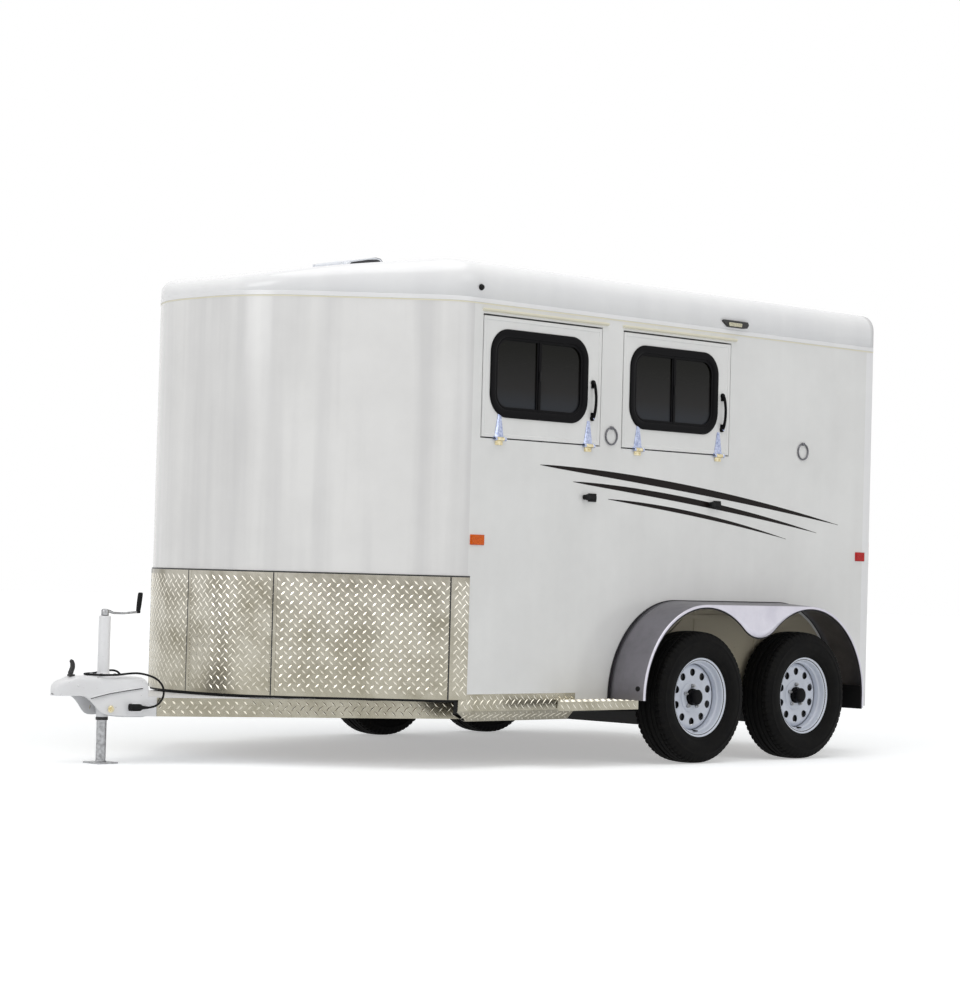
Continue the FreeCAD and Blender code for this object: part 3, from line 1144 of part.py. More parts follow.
# Small fittings on the walls
rails_items = []
for number, (name, front) in enumerate(HATCHES):
    rails_items.append(block("drip_" + name, (front + " - hatch_width - 41", front + " + 12"),
                             ("half_width", "half_width + 14"), ("hatch_top + 24", "hatch_top + 32")))
keep("drip_rails", grouped("drip_pair", rails_items))
rings = []
for number, place in enumerate((-212, -1770)):
    centre = (str(place), "1668")
    loop = carved("tie_ring_%d" % number, rod("tie_outer_%d" % number, "y", ("half_width + seat_gap", "half_width + 9"),
                                              centre, "47"),
                  [rod("tie_inner_%d" % number, "y", ("half_width - 1", "half_width + 10"), centre, "38")])
    staple = block("tie_staple_%d" % number, ("%d - 14" % place, "%d + 14" % place), ("half_width", "half_width + 14"),
                   ("1668 + 30", "1668 + 56"))
    rings.append(fused("tie_%d" % number, [loop, staple]))
for number, place in enumerate((-59, -1032)):
    rings.append(block("hatch_catch_%d" % number, ("%d - 50" % place, "%d + 50" % place), ("half_width", "half_width + 30"),
                       ("1349 - 21", "1349 + 21")))
keep("wall_fittings", grouped("wall_fitting_group", rings))

lamps = [
    block("load_lamp", ("-1272", "-1058"), ("half_width", "half_width + 22"), ("2300", "2338")),
    rod("roof_marker", "y", ("half_width", "half_width + 16"), ("745", "2340"), "16"),
    block("amber_reflector", ("680", "775"), ("half_width", "half_width + 7"), ("1088", "1138")),
    block("red_reflector", ("-2345", "-2262"), ("half_width", "half_width + 7"), ("1078", "1128")),
]
lamps += [mirrored("right_lamp_%d" % number, item) for number, item in enumerate(lamps[:])]
for number, side in enumerate((1, -1)):
    low, high = sorted((side * 1022, side * 1058))
    lamps.append(block("tail_lamp_%d" % number, ("rear_x - 10", "rear_x"), (str(low), str(high)), ("1040", "1190")))
keep("lamps", grouped("lamp_group", lamps))

doc.recompute()
for item in doc.Objects:
    if "Invalid" in item.State or "Error" in item.State:
        raise RuntimeError("failed object %s: %s" % (item.Label, item.State))
for node, item in parts.items():
    shape = item.Shape
    if shape.isNull() or not shape.isValid() or not shape.Solids:
        raise RuntimeError("bad shape in " + node)
    shape.exportStep("parts/%s.step" % node)
print(len(parts), "pieces written")
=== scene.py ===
import math

import bmesh
import bpy
import numpy as np
from mathutils import Euler, Matrix, Vector


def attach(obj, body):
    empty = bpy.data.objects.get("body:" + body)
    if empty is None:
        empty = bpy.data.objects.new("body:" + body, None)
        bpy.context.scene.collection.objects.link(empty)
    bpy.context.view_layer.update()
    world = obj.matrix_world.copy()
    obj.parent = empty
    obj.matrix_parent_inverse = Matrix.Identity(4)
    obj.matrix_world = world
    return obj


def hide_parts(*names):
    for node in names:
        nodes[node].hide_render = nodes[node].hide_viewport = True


# Looks of a two-horse slant-load trailer. Lengths are in millimetres until a mesh is made;
# +X points forward to the coupler, +Y to the trailer's left side, +Z up.
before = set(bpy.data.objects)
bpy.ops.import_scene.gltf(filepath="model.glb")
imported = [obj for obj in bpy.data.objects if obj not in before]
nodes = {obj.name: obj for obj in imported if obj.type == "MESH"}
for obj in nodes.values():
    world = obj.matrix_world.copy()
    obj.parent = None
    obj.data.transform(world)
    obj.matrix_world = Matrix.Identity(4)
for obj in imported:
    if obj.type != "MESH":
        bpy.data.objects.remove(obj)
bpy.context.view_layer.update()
ROOT = "trailer_body"
X, Y, Z = (1, 0, 0), (0, 1, 0), (0, 0, 1)

# Body
HALF, WALL = 1064, 38
REAR_X, CORNER_X = -2387, 782
CORNER_R, LEAN, NOSE_R, NOSE_FLAT = 250, math.radians(43), 620, 91
NOSE_LOW, ROOF_LINE, ROOF_TOP = 338, 2264, 2475
EDGE_R, DROP_X, DROP, CREASE_R = 95, 900, math.radians(7.5), 1000
TIP_X, TIP_R, TIP_EDGE_R = 1200, 2800, 50
GUARD_TOP, GUARD_X, GUARD_OUT = 936, CORNER_X - 12, 3.3
VENT_HALF, VENT_REAR, VENT_FRONT = 112, 553, 772
# Wheels and fenders
FRONT_AXLE, REAR_AXLE, WHEEL_Y, HUB_Z = -732, -1585, 1184, 341.5
TYRE_R, RIM_R, LIP_R = 341.5, 190.5, 207.5
FENDER_OUT, FENDER_R, FLARE, FENDER_LIP, FENDER_DIP = 1298, 480, 14, 14, 653
FENDER_FRONT_LOW, FENDER_REAR_LOW, SHEET = 331.3, 270, 3
# Doors
HATCH_FRONTS, HATCH_WIDTH, HATCH_LOW, HATCH_HIGH = (717, -295), 843, 1616, 2208
WINDOW_WIDTH, WINDOW_LOW, WINDOW_HIGH, WINDOW_R = 697, 1716, 2152, 120
HINGE_Z, HINGE_OUT, STRAP_RUN = 1610, 12, 117
DOOR_STRAP, HATCH_STRAP, DOOR_EDGE = (76, 60), (62, 18), HALF - 72
# Tongue
JACK_X, COUPLER_TOP, BALL_X = 2148, 417, 2392
TONGUE_ANGLE, APEX_X, APEX_HALF = math.radians(25), 2230, 60


# Nodes

def linear(code):
    """sRGB hex to the linear colour that shaders take."""
    steps = [int(code[i:i + 2], 16) / 255 for i in (0, 2, 4)]
    return tuple(s / 12.92 if s <= 0.04045 else ((s + 0.055) / 1.055) ** 2.4 for s in steps) + (1.0,)


def add(tree, kind, inputs=None, **fields):
    """One node with its settings; a socket given as a value is linked, anything else is set."""
    node = tree.nodes.new(kind)
    for name, value in fields.items():
        setattr(node, name, value)
    for name, value in (inputs or {}).items():
        if isinstance(value, bpy.types.NodeSocket):
            tree.links.new(value, node.inputs[name])
        else:
            node.inputs[name].default_value = value
    return node


def canvas(name):
    """An empty material, its nodes and its object coordinates."""
    made = bpy.data.materials.new(name)
    made.use_nodes = True
    made.node_tree.nodes.clear()
    return made, made.node_tree, add(made.node_tree, "ShaderNodeTexCoord").outputs["Object"]


def surface(made, **sockets):
    """Gives a material its one shader, whose own sockets take the constants."""
    inputs = {key.replace("_", " "): value for key, value in sockets.items()}
    shader = add(made.node_tree, "ShaderNodeBsdfPrincipled", inputs)
    add(made.node_tree, "ShaderNodeOutputMaterial", {"Surface": shader.outputs[0]})
    return made


def noise(tree, where, scale, detail, rough=0.5):
    """Soft blots, about 1 / scale metres across."""
    inputs = {"Vector": where, "Scale": scale, "Detail": detail, "Roughness": rough}
    return add(tree, "ShaderNodeTexNoise", inputs).outputs["Fac"]


def ramp(tree, value, *stops):
    """Colour ramp over a value, from (place, hex) stops."""
    node = add(tree, "ShaderNodeValToRGB", {"Fac": value})
    elements = node.color_ramp.elements
    while len(elements) < len(stops):
        elements.new(0.5)
    for element, (place, code) in zip(elements, stops):
        element.position, element.color = place, linear(code)
    return node.outputs["Color"]


def spread(tree, value, low, high, first, last):
    """A value taken from low..high to first..last and held at both ends."""
    inputs = {"Value": value, "From Min": low, "From Max": high, "To Min": first, "To Max": last}
    return add(tree, "ShaderNodeMapRange", inputs).outputs[0]


def mixed(tree, share, first, second):
    """Second colour over the first by a share."""
    inputs = {"Factor": share, "A": first, "B": second}
    return add(tree, "ShaderNodeMix", inputs, data_type="RGBA").outputs["Result"]


def height_of(tree, where):
    return add(tree, "ShaderNodeSeparateXYZ", {"Vector": where}).outputs["Z"]


def emboss(tree, height, strength, distance, **over):
    """Relief from a height, over a coarser relief given as Normal."""
    inputs = {"Height": height, "Strength": strength, "Distance": distance, **over}
    return add(tree, "ShaderNodeBump", inputs).outputs[0]


# Finishes

def white_enamel(name, code, shade, wave, film_and_reflection_streak):
    """Baked enamel on sheet aluminium: bright, faintly wavy where the skin pulls between its frames,
    with a trace of road film in soft patches, and grey upright bands of painted reflection and road film."""
    made, tree, where = canvas(name)
    # Film gathers in soft patches about 400 mm across
    paint = ramp(tree, noise(tree, where, 2.6, 5.0, 0.6), (0.35, shade), (0.68, code))
    # Painted reflection with road film: grey upright bands 60 to 200 mm wide,
    # as the skin mirrors its surroundings and as water leaves them
    upright = add(tree, "ShaderNodeMapping", {"Vector": where, "Scale": (1.0, 1.0, 0.05)}).outputs[0]
    share = spread(tree, noise(tree, upright, 7.0, 3.0), 0.42, 0.66, 0.0, film_and_reflection_streak)
    # Skin waves 250 mm across run upright, under a fine orange peel drawn 12 mm wide so that it shows
    waves = emboss(tree, noise(tree, upright, 4.0, 1.0), wave, 0.02)
    peel = emboss(tree, noise(tree, where, 85.0, 1.0), 0.06, 0.0006, Normal=waves)
    return surface(made, Base_Color=mixed(tree, share, paint, linear("b9b8ba")), Normal=peel, Roughness=0.22,
                   Coat_Weight=0.35, Coat_Roughness=0.08)


def rolled_aluminium(name, code, dull, rough, dent, film_and_reflection_top=0.0):
    """Bright rolled aluminium: mirror-like with faint cloudy handling marks and slightly dished sheet.

    Where a height is given, the metal below it is dulled and warmed: painted reflection of the floor beneath,
    with road film.
    """
    made, tree, where = canvas(name)
    cloud = noise(tree, where, 6.0, 5.0, 0.65)
    metal = ramp(tree, cloud, (0.3, dull), (0.6, code))
    if film_and_reflection_top:
        # Painted reflection with road film: darker, warmer metal below the given height
        film_and_reflection = spread(tree, height_of(tree, where), 0.3, film_and_reflection_top, 0.5, 0.0)
        metal = mixed(tree, film_and_reflection, metal, linear("a09b88"))
    return surface(made, Base_Color=metal, Roughness=spread(tree, cloud, 0.3, 0.7, rough + 0.08, rough),
                   Normal=emboss(tree, noise(tree, where, 3.5, 2.0), dent, 0.03), Metallic=1.0)


def mottled(name, scale, detail, low, high, relief=None, rough=0.5, **sockets):
    """A finish whose colour, and relief as (strength, distance), follow one noise between two stops."""
    made, tree, where = canvas(name)
    blots = noise(tree, where, scale, detail, rough)
    if relief:
        sockets["Normal"] = emboss(tree, blots, *relief)
    return surface(made, Base_Color=ramp(tree, blots, low, high), **sockets)


def frame_enamel(name, code, worn, rough):
    """Brushed-on chassis enamel over steel: satin, with chips and grime in spots of 8 to 30 mm."""
    return mottled(name, 45.0, 6.0, (0.26, worn), (0.37, code), (0.15, 0.0008), 0.7, Roughness=rough)


def plated_steel(name, code, dark, rough):
    """Plated steel fitting: even bright metal with slight stains 5 to 20 mm across."""
    return mottled(name, 70.0, 4.0, (0.3, dark), (0.6, code), Metallic=1.0, Roughness=rough)


def moulded_plastic(name, code, dark, rough, grain, sheen=0.5):
    """Moulded plastic or painted casting: soft sheen from a grain drawn 2 mm wide so that it shows."""
    return mottled(name, 500.0, 2.0, (0.3, dark), (0.7, code), (grain, 0.0005), Roughness=rough,
                   Specular_IOR_Level=sheen)


def tyre_compound():
    """Road tyre rubber: near-black with brown dust held in low spots of 10 to 60 mm."""
    return mottled("cured_tyre_rubber", 22.0, 8.0, (0.38, "070708"), (0.78, "151412"), (0.3, 0.001), 0.7,
                   Roughness=0.78, Specular_IOR_Level=0.12)


def tinted_glass():
    """Dark tinted safety glass: almost opaque from outside, mirror-smooth and faintly rippled at 250 mm;
    bluish grey low to olive black high: a darker tint band at the top that clears downwards, and painted
    reflection."""
    made, tree, where = canvas("tinted_safety_glass")
    share = spread(tree, height_of(tree, where), WINDOW_LOW / 1000, WINDOW_HIGH / 1000, 0.0, 1.0)
    # Painted reflection with a tint band: bluish grey low, olive black high
    tint_and_reflection = ramp(tree, share, (0.0, "3b4048"), (0.35, "2c2b2b"), (0.8, "12120d"), (1.0, "0a0a08"))
    ripple = emboss(tree, noise(tree, where, 4.0, 1.0), 0.03, 0.01)
    return surface(made, Base_Color=tint_and_reflection, Normal=ripple, Roughness=0.04, IOR=1.52, Transmission_Weight=0.15,
                   Specular_IOR_Level=0.06)


def lens(name, code, dark):
    """Moulded acrylic reflector: clear colour over a grid of prisms 6 mm across."""
    made, tree, where = canvas(name)
    cells = add(tree, "ShaderNodeTexVoronoi", {"Vector": where, "Scale": 160.0}).outputs["Distance"]
    return surface(made, Base_Color=ramp(tree, cells, (0.1, code), (0.9, dark)), Roughness=0.15,
                   Normal=emboss(tree, cells, 0.4, 0.001), Specular_IOR_Level=0.15, Coat_Weight=0.2,
                   Coat_Roughness=0.05)


def floor_planks():
    """Treated softwood planks laid along the trailer: 140 mm boards, grain drawn out along X."""
    made, tree, where = canvas("treated_softwood_planks")
    drawn = add(tree, "ShaderNodeMapping", {"Vector": where, "Scale": (1.5, 40.0, 40.0)}).outputs[0]
    grain = noise(tree, drawn, 1.0, 6.0)
    boards = add(tree, "ShaderNodeTexBrick", {
        "Vector": where, "Color1": linear("a98b66"), "Color2": linear("94764f"), "Mortar": linear("3a2c1e"),
        "Scale": 1.0, "Brick Width": 3.0, "Row Height": 0.14, "Mortar Size": 0.004})
    wood = mixed(tree, grain, boards.outputs["Color"], linear("6f5437"))
    return surface(made, Base_Color=wood, Normal=emboss(tree, grain, 0.3, 0.002), Roughness=0.75)


# Each white's last figure sets its grey upright bands of painted reflection and road film
WALL_WHITE = white_enamel("baked_white_enamel", "efefee", "e8e8e7", 0.16, 0.05)
NOSE_WHITE = white_enamel("baked_white_enamel_nose", "f0efee", "e9e8e7", 0.35, 0.30)
ROOF_WHITE = white_enamel("white_gelcoat_roof", "f5f5f6", "f0f0f2", 0.05, 0.05)
FRAME_WHITE = frame_enamel("white_chassis_enamel", "eeeef0", "77706a", 0.34)
FRAME_BLACK = frame_enamel("black_chassis_enamel", "101012", "231f1d", 0.42)
LINER = frame_enamel("primed_wheel_arch_liner", "b3ab97", "6f6757", 0.6)
# One tread aluminium painted as two: the lugs lighter as painted highlight, the sheet between them darker as
# painted shade
TREAD_SHADED = rolled_aluminium("tread_aluminium_painted_shade", "b6b2a7", "878274", 0.22, 0.10, 0.95)
LUG_METAL_LIT = rolled_aluminium("tread_lugs_painted_highlight", "fffbf0", "f0eadb", 0.13, 0.04, 0.95)
# One fender aluminium painted as two: the top darker as painted shade, the rolled edge lighter as painted
# highlight
FENDER_SHADED = rolled_aluminium("fender_aluminium_painted_shade", "858389", "76747a", 0.36, 0.04)
LIP_HIGHLIGHT = rolled_aluminium("fender_edge_painted_highlight", "cfcdd6", "c2c0cb", 0.3, 0.02)
# Chrome tinted blue: painted reflection of a sky
CHROME_SKY_REFLECTION = plated_steel("chromed_steel_painted_sky_reflection", "bcc4dc", "8e98b8", 0.16)
BRASS = plated_steel("yellow_passivated_steel", "e6dcbc", "c2b182", 0.35)
DARK_STEEL = plated_steel("weathered_steel", "77777c", "55555a", 0.45)
ZINC = plated_steel("zinc_plated_steel", "b3b4b6", "8b8b8c", 0.38)
# Wheel white set darker and bluer than the body's: painted shade under the fenders
WHEEL_SHADED = frame_enamel("white_wheel_enamel_painted_shade", "d6dbe6", "9ca1ae", 0.3)
FRAME_PLASTIC = moulded_plastic("black_powder_coat", "0a090c", "050507", 0.4, 0.15, 0.07)
RUBBER = moulded_plastic("black_rubber_trim", "101011", "0a0a0b", 0.65, 0.4, 0.2)
# Dark grey for gaskets, also used as painted shade under the fender edges and the coupler's crease
GASKET_AND_SHADE = moulded_plastic("grey_gasket_and_painted_shade", "2b2a2e", "1f1e22", 0.7, 0.3, 0.2)
VENT_WHITE = moulded_plastic("white_vent_plastic", "eef1f6", "e2e6ee", 0.35, 0.2)
# Dark plastic for the vent lid's cheeks: painted shade of the opening beneath the lid
VENT_SIDE_SHADE = moulded_plastic("vent_side_painted_shade", "26262b", "1c1c20", 0.35, 0.2)
VENT_BAR = moulded_plastic("grey_vent_plastic", "8f9096", "7f8087", 0.4, 0.2)
CREAM = frame_enamel("cream_drip_rail_enamel", "e8e3ce", "d3cbae", 0.4)
DECAL = moulded_plastic("brown_black_film", "1d1614", "130e0d", 0.3, 0.05, 0.1)
TYRE = tyre_compound()
GLASS = tinted_glass()
AMBER = lens("amber_acrylic", "f0700a", "c84c02")
RED = lens("red_acrylic", "d8060e", "a0040a")
CLEAR = lens("clear_acrylic", "e4e0c8", "b0ab90")
PLANKS = floor_planks()


# Shapes: each is (points, faces)

def around(count):
    """Even angles of one whole turn."""
    return np.linspace(0, 2 * np.pi, count, endpoint=False)


def ellipse(across, up, count):
    """Closed section with two half axes."""
    return [(math.cos(t) * across, math.sin(t) * up) for t in around(count)]


def join(*shapes):
    """Puts shapes together as one."""
    points, faces, count = [], [], 0
    for some, their in shapes:
        points.append(np.asarray(some, float))
        faces += [[corner + count for corner in face] for face in their]
        count += len(some)
    return np.concatenate(points), faces


def shifted(shape, offset):
    return np.asarray(shape[0], float) + offset, shape[1]


def mirror(shape):
    """The same shape on the trailer's other side."""
    return np.asarray(shape[0], float) * (1, -1, 1), shape[1]


def pair(*shapes):
    """Shapes on the left side together with their mirror images."""
    left = join(*shapes)
    return join(left, mirror(left))


def lay(shape, origin, u, v, w):
    """Moves a shape drawn as (along, up, out) onto a panel whose axes are u, v and w."""
    return np.asarray(origin, float) + np.asarray(shape[0], float) @ np.array([u, v, w], float), shape[1]


def strip(rows, columns, closed=False, ring=False):
    """Quads between a grid's rows; closed joins its last column to its first, ring its rows."""
    down = np.arange(rows if ring else rows - 1)[:, None]
    right = np.arange(columns if closed else columns - 1)[None, :]
    low, high = down * columns, (down + 1) % rows * columns
    next_right = (right + 1) % columns
    quads = np.stack([low + right, low + next_right, high + next_right, high + right], axis=-1)
    return quads.reshape(-1, 4).tolist()


def capped(points, rows, columns):
    """Grid of closed rows with its first and last row as faces."""
    ends = [list(range(columns)), list(range(columns * (rows - 1), columns * rows))]
    return points, strip(rows, columns, closed=True) + ends


def sweep(section, path, across, up, ring=False):
    """Closed section of (a, b) pairs carried along a path: path + a * across + b * up at every station."""
    section, path = np.asarray(section, float), np.asarray(path, float)
    across, up = (np.broadcast_to(way, path.shape)[:, None] for way in (across, up))
    points = (path[:, None] + section[None, :, :1] * across + section[None, :, 1:] * up).reshape(-1, 3)
    if ring:
        return points, strip(len(path), len(section), closed=True, ring=True)
    return capped(points, len(path), len(section))


def turned(profile, count, centre=(0, 0, 0), axis="y", bore=False):
    """Profile of (radius, distance) pairs turned about an axis through centre: closed from end to start
    round a bore, or shut by poles on the axis."""
    if not bore:
        ends = [[(0, out)] if radius else [] for radius, out in (profile[0], profile[-1])]
        profile = ends[0] + profile + ends[1]
    profile = np.array(profile, float)
    angle = around(count)[:, None]
    radius, along = profile[None, :, 0], profile[None, :, 1] + 0 * angle
    sides = [radius * np.cos(angle), radius * np.sin(angle)]
    order = {"x": [along, *sides], "y": [sides[0], along, sides[1]], "z": [*sides, along]}[axis]
    points = np.stack(order, axis=-1).reshape(-1, 3) + np.asarray(centre, float)
    return points, strip(count, len(profile), closed=bore, ring=True)


def tube(path, radius, sides=12):
    """Round tube along a polyline: each ring stands square to the path, carried on from the one before."""
    path = np.asarray(path, float)
    way = np.gradient(path, axis=0)
    way /= np.linalg.norm(way, axis=1)[:, None]
    side = np.cross(way[0], [0.13, 0.21, 0.97])
    rings = []
    angle = around(sides)
    for spot, heading, size in zip(path, way, np.broadcast_to(radius, len(path))):
        side = side - heading * (side @ heading)
        side /= np.linalg.norm(side)
        other = np.cross(heading, side)
        rings.append(spot + size * (np.cos(angle)[:, None] * side + np.sin(angle)[:, None] * other))
    return capped(np.concatenate(rings), len(path), sides)


def slab(low, high):
    """Upright block between two corners."""
    points = [(x, y, z) for x in (low[0], high[0]) for y in (low[1], high[1]) for z in (low[2], high[2])]
    return points, [[0, 1, 3, 2], [4, 6, 7, 5], [0, 4, 5, 1], [2, 3, 7, 6], [0, 2, 6, 4], [1, 5, 7, 3]]


def wall_block(start, end, low, high):
    """Block on the left wall between two (x, z) corners, from low to high outwards."""
    return slab((start[0], HALF + low, start[1]), (end[0], HALF + high, end[1]))


def plate(outline, low, high, axis="z"):
    """Flat polygon with a thickness along an axis."""
    outline = np.asarray(outline, float)
    levels = [np.insert(outline, "xyz".index(axis), level, axis=1) for level in (low, high)]
    return capped(np.concatenate(levels), 2, len(outline))


def hexagon(centre, radius, low, high, chamfer=2.0):
    """Hexagonal nut along Y with a chamfered outer face."""
    turns = around(6)
    rings = []
    for reach, out in ((radius, low), (radius, high - chamfer), (radius - chamfer, high), (0.0, high)):
        rings.append(np.column_stack([reach * np.cos(turns), np.full(6, out), reach * np.sin(turns)]))
    return np.concatenate(rings) + centre, strip(4, 6, closed=True)


def placed(name, data):
    """A new object in the scene."""
    item = bpy.data.objects.new(name, data)
    bpy.context.scene.collection.objects.link(item)
    return item


def build(name, shape, finish, body=ROOT, node=None, bevel=0, angle=35, thick=0, subsurf=0):
    """Makes the piece: doubles merged, faces turned outwards, edges over an angle kept sharp."""
    points, faces = shape
    mesh = bpy.data.meshes.new(name)
    mesh.from_pydata((np.asarray(points, float) / 1000).tolist(), [], faces)
    work = bmesh.new()
    work.from_mesh(mesh)
    bmesh.ops.remove_doubles(work, verts=work.verts, dist=2e-5)
    bmesh.ops.dissolve_degenerate(work, edges=work.edges, dist=1e-6)
    bmesh.ops.recalc_face_normals(work, faces=work.faces)
    work.to_mesh(mesh)
    work.free()
    mesh.shade_smooth()
    mesh.set_sharp_from_angle(angle=math.radians(angle))
    mesh.materials.append(finish)
    piece = placed(name, mesh)
    if thick:
        wall = piece.modifiers.new("thickness", "SOLIDIFY")
        wall.thickness, wall.offset = thick / 1000, -1
    if bevel:
        edge = piece.modifiers.new("edges", "BEVEL")
        edge.width, edge.segments, edge.limit_method = bevel / 1000, 2, "ANGLE"
        edge.angle_limit, edge.use_clamp_overlap = math.radians(40), True
    if subsurf:
        smooth = piece.modifiers.new("smooth", "SUBSURF")
        smooth.levels = smooth.render_levels = subsurf
    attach(piece, body)
    if node:
        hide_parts(node)
    return piece


def dress(finish, *names):
    """Gives CAD nodes that stay a finish."""
    for name in names:
        nodes[name].data.materials.clear()
        nodes[name].data.materials.append(finish)


# Nose and roof

def nose_plan(inset, start_x, step=20.0):
    """Plan line of the nose moved in by inset, as points and outward directions.

    It follows the wall from start_x, the corner arc, the slanted line, the front arc and the flat, then their
    mirror image. Point counts follow the outer line, so lines of different insets match point for point.
    """
    corner = np.array([CORNER_X, HALF - CORNER_R], float)
    out = np.array([math.sin(LEAN), math.cos(LEAN)])
    ahead = np.array([math.cos(LEAN), -math.sin(LEAN)])
    reach = corner[1] + (CORNER_R - NOSE_R) * out[1] - NOSE_FLAT
    middle = corner + out * (CORNER_R - NOSE_R) + ahead * (reach / math.sin(LEAN))

    def bend(centre, radius, start, end):
        turn = np.linspace(start, end, max(4, int(abs(end - start) * 18)))
        heading = np.column_stack([np.cos(turn), np.sin(turn)])
        return centre + (radius - inset) * heading, heading

    first, first_out = bend(corner, CORNER_R, math.pi / 2, math.pi / 2 - LEAN)
    last, last_out = bend(middle, NOSE_R, math.pi / 2 - LEAN, 0)
    slant = np.linspace(0, 1, 24)[1:-1, None]
    flat = np.linspace(NOSE_FLAT, 0, 5)[1:]
    wall = np.empty(0)
    if start_x < CORNER_X:
        wall = np.linspace(start_x, CORNER_X, max(2, int((CORNER_X - start_x) / step)))[:-1]
    spots = np.concatenate([np.column_stack([wall, np.full(len(wall), HALF - inset)]), first,
                            first[-1] + (last[0] - first[-1]) * slant, last,
                            np.column_stack([np.full(4, last[-1, 0]), flat])])
    heads = np.concatenate([np.tile([0.0, 1.0], (len(wall), 1)), first_out, np.tile(out, (22, 1)), last_out,
                            np.tile([1.0, 0.0], (4, 1))])
    flip = np.array([1.0, -1.0])
    return np.concatenate([spots, spots[-2::-1] * flip]), np.concatenate([heads, heads[-2::-1] * flip])


def nose_band(out_low, out_high, low, high, start_x):
    """Upright band carried round the nose between two outward offsets and two heights."""
    spots, heads = nose_plan(0, start_x)
    level = np.zeros(len(spots))
    section = [(out_high, low), (out_high, high), (out_low, high), (out_low, low)]
    return sweep(section, np.column_stack([spots, level]), np.column_stack([heads, level]), Z)


def roof_height(x):
    """Top line: level, a crease of radius CREASE_R, a fall at DROP, and past TIP_X a further
    (x - TIP_X)^2 / (2 TIP_R)."""
    run = CREASE_R * math.tan(DROP / 2)
    bend_x = DROP_X - run
    bent = ROOF_TOP - (CREASE_R - np.sqrt(np.maximum(CREASE_R ** 2 - (x - bend_x) ** 2, 0)))
    fall = ROOF_TOP - (x - DROP_X) * math.tan(DROP) - np.maximum(x - TIP_X, 0) ** 2 / (2 * TIP_R)
    return np.where(x < bend_x, ROOF_TOP, np.where(x < DROP_X + run * math.cos(DROP), bent, fall))


def roof_shape():
    """Outer skin: rows follow the plan line, columns climb the rounded edge; the top spans both sides.

    Edge: after a turn t the skin is R (1 - cos t) inside the plan line and R (1 - sin t) below the top line,
    where R goes from EDGE_R along the sides to TIP_EDGE_R at the front. The vent's well is left out.
    """
    spots, heads = nose_plan(0, REAR_X, 40.0)
    radius = np.interp(spots[:, 0], (1000, 1550), (EDGE_R, TIP_EDGE_R))
    layers = [np.column_stack([spots, np.full(len(spots), float(ROOF_LINE))])]
    for turn in np.linspace(0, math.pi / 2, 10):
        line = spots - heads * (radius * (1 - math.cos(turn)))[:, None]
        layers.append(np.column_stack([line, roof_height(line[:, 0]) - radius * (1 - math.sin(turn))]))
    skirt = np.stack(layers, axis=1)
    half = (len(spots) + 1) // 2 - 4
    left, right = skirt[:half, -1], skirt[::-1][:half, -1]
    well = VENT_HALF / (HALF - EDGE_R)
    shares = np.array([-1, -0.8, -0.6, -0.4, -0.25, -well, 0.0, well, 0.25, 0.4, 0.6, 0.8, 1])
    mix = (1 - shares[None, :, None]) / 2
    top = (left[:, None] * (1 - mix) + right[:, None] * mix).reshape(-1, 3)
    faces = np.array(strip(half, len(shares)))
    x, y, _ = top[faces].mean(axis=1).T
    faces = faces[(x <= VENT_REAR) | (x >= VENT_FRONT) | (abs(y) >= VENT_HALF)].tolist()
    return join((skirt.reshape(-1, 3), strip(len(spots), len(layers))), (top, faces))


build("nose_skin", nose_band(-WALL, 0, NOSE_LOW, ROOF_LINE, CORNER_X), NOSE_WHITE, node="nose_shell")
build("roof_lip", nose_band(-1, 1.8, ROOF_LINE + 3, ROOF_LINE + 24, REAR_X + 1), ROOF_WHITE, bevel=0.8)
build("roof_sealant", nose_band(-1, 1.2, ROOF_LINE - 4, ROOF_LINE + 2.5, REAR_X + 1), CREAM)
build("roof_skin", roof_shape(), ROOF_WHITE, node="roof_shell", thick=18, angle=50)
# The cap behind the skin stands a skin's depth inside its outline
cap_half, cap_top, cap_r = HALF - 12, ROOF_TOP - 12, EDGE_R - 12
gable = [(-cap_half, ROOF_LINE)]
gable += [(-cap_half + cap_r * (1 - math.cos(t)), cap_top - cap_r * (1 - math.sin(t)))
          for t in np.linspace(0, math.pi / 2, 10)]
gable += [(-y, z) for y, z in gable[::-1]]
build("roof_rear_cap", plate(gable, REAR_X + 1, REAR_X + 57, "x"), ROOF_WHITE)

# Tread plate: raised lozenges, each pointing at the flank of the next
LUG = np.array([(-20.5, 0, 0), (0, -4.3, 0), (20.5, 0, 0), (0, 4.3, 0), (-13, 0, 1.9), (13, 0, 1.9)])
LUG_FACES = np.array([(0, 1, 4, 4), (4, 1, 5, 5), (1, 2, 5, 5), (2, 3, 5, 5), (3, 4, 5, 5), (3, 0, 4, 4)])
LUG_PITCH, LUG_EDGE = 44.0, 15.5


